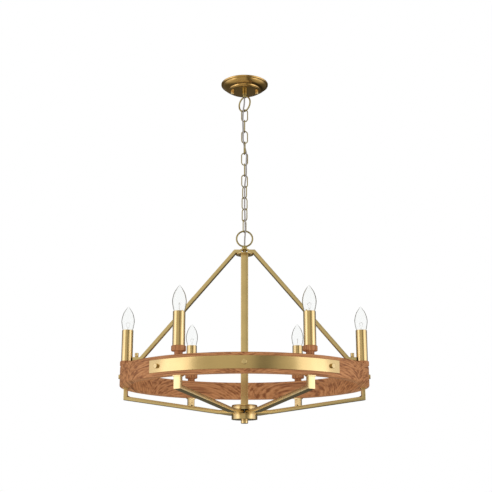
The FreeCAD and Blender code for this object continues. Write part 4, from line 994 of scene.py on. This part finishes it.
def make_rim_screws():
    """Polished round heads with a flat face and a rounded edge, on their shanks."""
    parts = []
    for angle, rise, under in rim_screw_places():
        seat = RIM_OUTER + under
        head = eased([(0, 0), (5.4, 0), (6.0, 0.6, 0.3), (6.0, 6.0, 1.0), (0, 6.0)], False)
        shank = np.array([(0, -8 - under), (2.0, -8 - under), (2.0, 0.5), (0, 0.5)])
        for profile, turns in ((head, 72), (shank, 24)):
            points, faces = turned_solid(profile, turns)
            lying = np.column_stack([seat + points[:, 2], points[:, 0], WHEEL_Z + rise + points[:, 1]])
            parts.append((turned_about(lying, angle), faces))
    points, faces = merged(parts)
    piece("rim_screw_heads", points, faces, BRASS_KNOB, "wheel_frame", ("rim_screws",), 35)


# Candles and bulbs


def make_candles():
    cups, sleeves, boards = [], [], []
    cup = eased(
        [
            (4.95, RIM_TOP_Z),
            (10.3, RIM_TOP_Z, 0.4),
            (10.3, CUP_DISC_Z, 1.6),
            (18, CUP_DISC_Z, 2.0),
            (18, CUP_TOP_Z, 2.0),
            (4.95, CUP_TOP_Z),
        ],
        True,
        6,
    )
    sleeve = eased(
        [
            (14.2, CUP_TOP_Z),
            (15.2, CUP_TOP_Z, 0.3),
            (15.2, SLEEVE_TOP_Z, 0.5),
            (14.2, SLEEVE_TOP_Z, 0.4),
        ]
    )
    for index, place in enumerate(candle_places()):
        points, faces = turned(cup, 96, place)
        cups.append((points, faces))
        local = points - [place[0], place[1], CUP_TOP_Z]
        boards.append(turned_about(local, 35 * index)[:, [2, 0, 1]] + [130 * index, 17 * index, 0])
        sleeves.append(turned(sleeve, 96, place))
    points, faces = merged(cups)
    board = np.vstack(boards)
    piece("turned_cups", points, faces, CUP_WOOD, "wheel_frame", ("candle_cups",), 50, board)
    points, faces = merged(sleeves)
    piece("brass_sleeves", points, faces, BRASS_SLEEVE, "wheel_frame", ("candle_sleeves",), 50)


def through_points(points, steps=7):
    """Smooth curve through points: between two of them a cubic whose slope at each is half the step
    from the one before to the one after."""
    points = np.asarray(points, float)
    slope = np.gradient(points, axis=0)
    t = np.linspace(0, 1, steps, endpoint=False)[None, :, None]
    here, after = points[:-1, None], points[1:, None]
    curve = (2 * t**3 - 3 * t**2 + 1) * here + (t**3 - 2 * t**2 + t) * slope[:-1, None]
    curve = curve + (3 * t**2 - 2 * t**3) * after + (t**3 - t**2) * slope[1:, None]
    return np.vstack([curve.reshape(-1, points.shape[1]), points[-1:]])


def bulb_profile(wall=0.0):
    """Half outline of a torpedo bulb from neck to tip, or its inner face a wall's thickness in."""
    corners = [(6.4, 0.3), (9.6, 5.4), (13.0, 12), (16.17, 24.9), (17.45, 40), (13.5, 57), (7.35, 68.1)]
    line = through_points([*corners, (3.5, 73.3), (1.5, 76.2), (0, GLASS_LENGTH)])
    return np.column_stack([np.maximum(line[:, 0] - wall, 0), line[:, 1] * (1 - wall / GLASS_LENGTH)])


def threaded(angle, r, z):
    """Rolled thread: the radius rises and falls with height and turn, once every pitch."""
    rolled = (z > BULB_BASE_Z + 4.5) & (z < SOCKET_TOP_Z - 3) & (r > 4)
    wave = (1 + np.cos(2 * math.pi * z / THREAD_PITCH - angle)) / 2
    return np.where(rolled, r - THREAD_DEPTH * wave, r)


def filament_parts(origin, across):
    """Two lead wires that spread as they rise, and a low arch between them, wound as a fine coil:
    the arch's line plus a small circle that turns 18 times along it."""
    up = np.array([0, 0, 1])
    parts = []
    for sign in (-1, 1):
        t = np.linspace(0, 1, 24)[:, None]
        line = origin + across * sign * (1.2 + 4.6 * t**1.6) + up * (14 + 16 * t)
        parts.append(capped_tube(line, 0.3, 8, (0.3, 0.9, 0.1)))
    t = np.linspace(0, 1, 420)[:, None]
    arch = origin + across * (11.6 * (t - 0.5)) + up * (30 + 3.2 * np.sin(math.pi * t))
    coil = 2 * math.pi * 18 * t
    arch = arch + 0.42 * (np.cos(coil) * np.cross(across, up) + np.sin(coil) * up)
    parts.append(capped_tube(arch, 0.16, 6, (0.2, 0.1, 0.95)))
    return parts


def make_bulbs():
    """Clear candle bulbs: glass envelope with a wall, screw shell, glass stem, lead wires and a
    fine coiled filament on its supports."""
    outer = bulb_profile()
    inner = bulb_profile(GLASS_WALL)[::-1]
    for index, place in enumerate(candle_places()):
        number = index + 1
        body = f"bulb_{number}"
        glass = np.vstack([outer[:-1], inner[1:]])
        glass[:, 1] += SOCKET_TOP_Z
        points, faces = turned(glass, 72, place)
        replaced = (f"bulb_glass_{number}",)
        piece(f"bulb_envelope_{number}", points, faces, GLASS, body, replaced, 60)

        low, up = BULB_BASE_Z, SOCKET_TOP_Z
        side = np.column_stack([np.full(64, 5.95), np.linspace(low + 4, up - 0.8, 64)])
        button = [[0, low], [2.2, low], [2.9, low + 0.6], [2.95, low + 2], [5.0, low + 2.2]]
        base = turned_solid(np.vstack([button, side, [[5.6, up], [0, up]]]), 48, place, threaded)
        corners = [(0, up), (3.0, up), (1.7, up + 9, 4), (1.5, up + 19, 1), (0, up + 20)]
        stem_profile = eased(corners, False, 6)
        stem = turned_solid(stem_profile, 32, place)
        points, faces = base
        replaced = (f"bulb_base_{number}",)
        piece(f"bulb_shell_{number}", points, faces, NICKEL, body, replaced, 50)
        points, faces = stem
        piece(f"bulb_stem_{number}", points, faces, GLASS, body, (), 60)
        angle = math.radians(index * 60 + 20)
        across = np.array([math.cos(angle), math.sin(angle), 0])
        points, faces = merged(filament_parts(np.array([*place, up]), across))
        made = piece(f"bulb_filament_{number}", points, faces, TUNGSTEN, body, (), 60)
        face_out(made)


def make_lamp_wires():
    """The wires in the arms, from the hub to the lamp holders."""
    parts = []
    for index in range(CANDLES):
        route = [(16, 0, HUB_Z), (45, 1.0, HUB_Z), (70, 0, HUB_Z), (190, -1.0, HUB_Z + 17.5)]
        route += [(CANDLE_CIRCLE, 0, z) for z in (WHEEL_Z - 52, RIM_BASE_Z, SOCKET_TOP_Z - 27)]
        line = smooth_line(route)
        points, faces = capped_tube(line, 1.5, 10, (0, 1, 0))
        parts.append((turned_about(points, index * 60), faces))
    points, faces = merged(parts)
    made = piece("arm_wires", points, faces, BLACK, "wheel_frame", ("lamp_wires",), 60)
    face_out(made)


make_camera()
make_room()
make_canopy()
make_canopy_nuts()
make_loops()
make_chain()
make_cord()
make_frame_top()
make_straps()
make_foot_knobs()
make_centre_tube()
make_hub()
make_arms()
make_rim()
make_bands()
make_rim_screws()
make_candles()
make_bulbs()
make_lamp_wires()

finish_cad(STEEL, "box_strip", "stud_strip", "strip_rivet", "canopy_studs")
finish_cad(STEEL, "strap_screws", "bracket_screws", "candle_stems", "tube_plugs", "hub_core")
finish_cad(GREEN, "ground_screw")
finish_cad(BRASS_BAR, "loop_nut", "foot_spacers", "rim_brackets")
finish_cad(BLACK, "candle_sockets")
finish_cad(BEECH, "felloe_dowels")
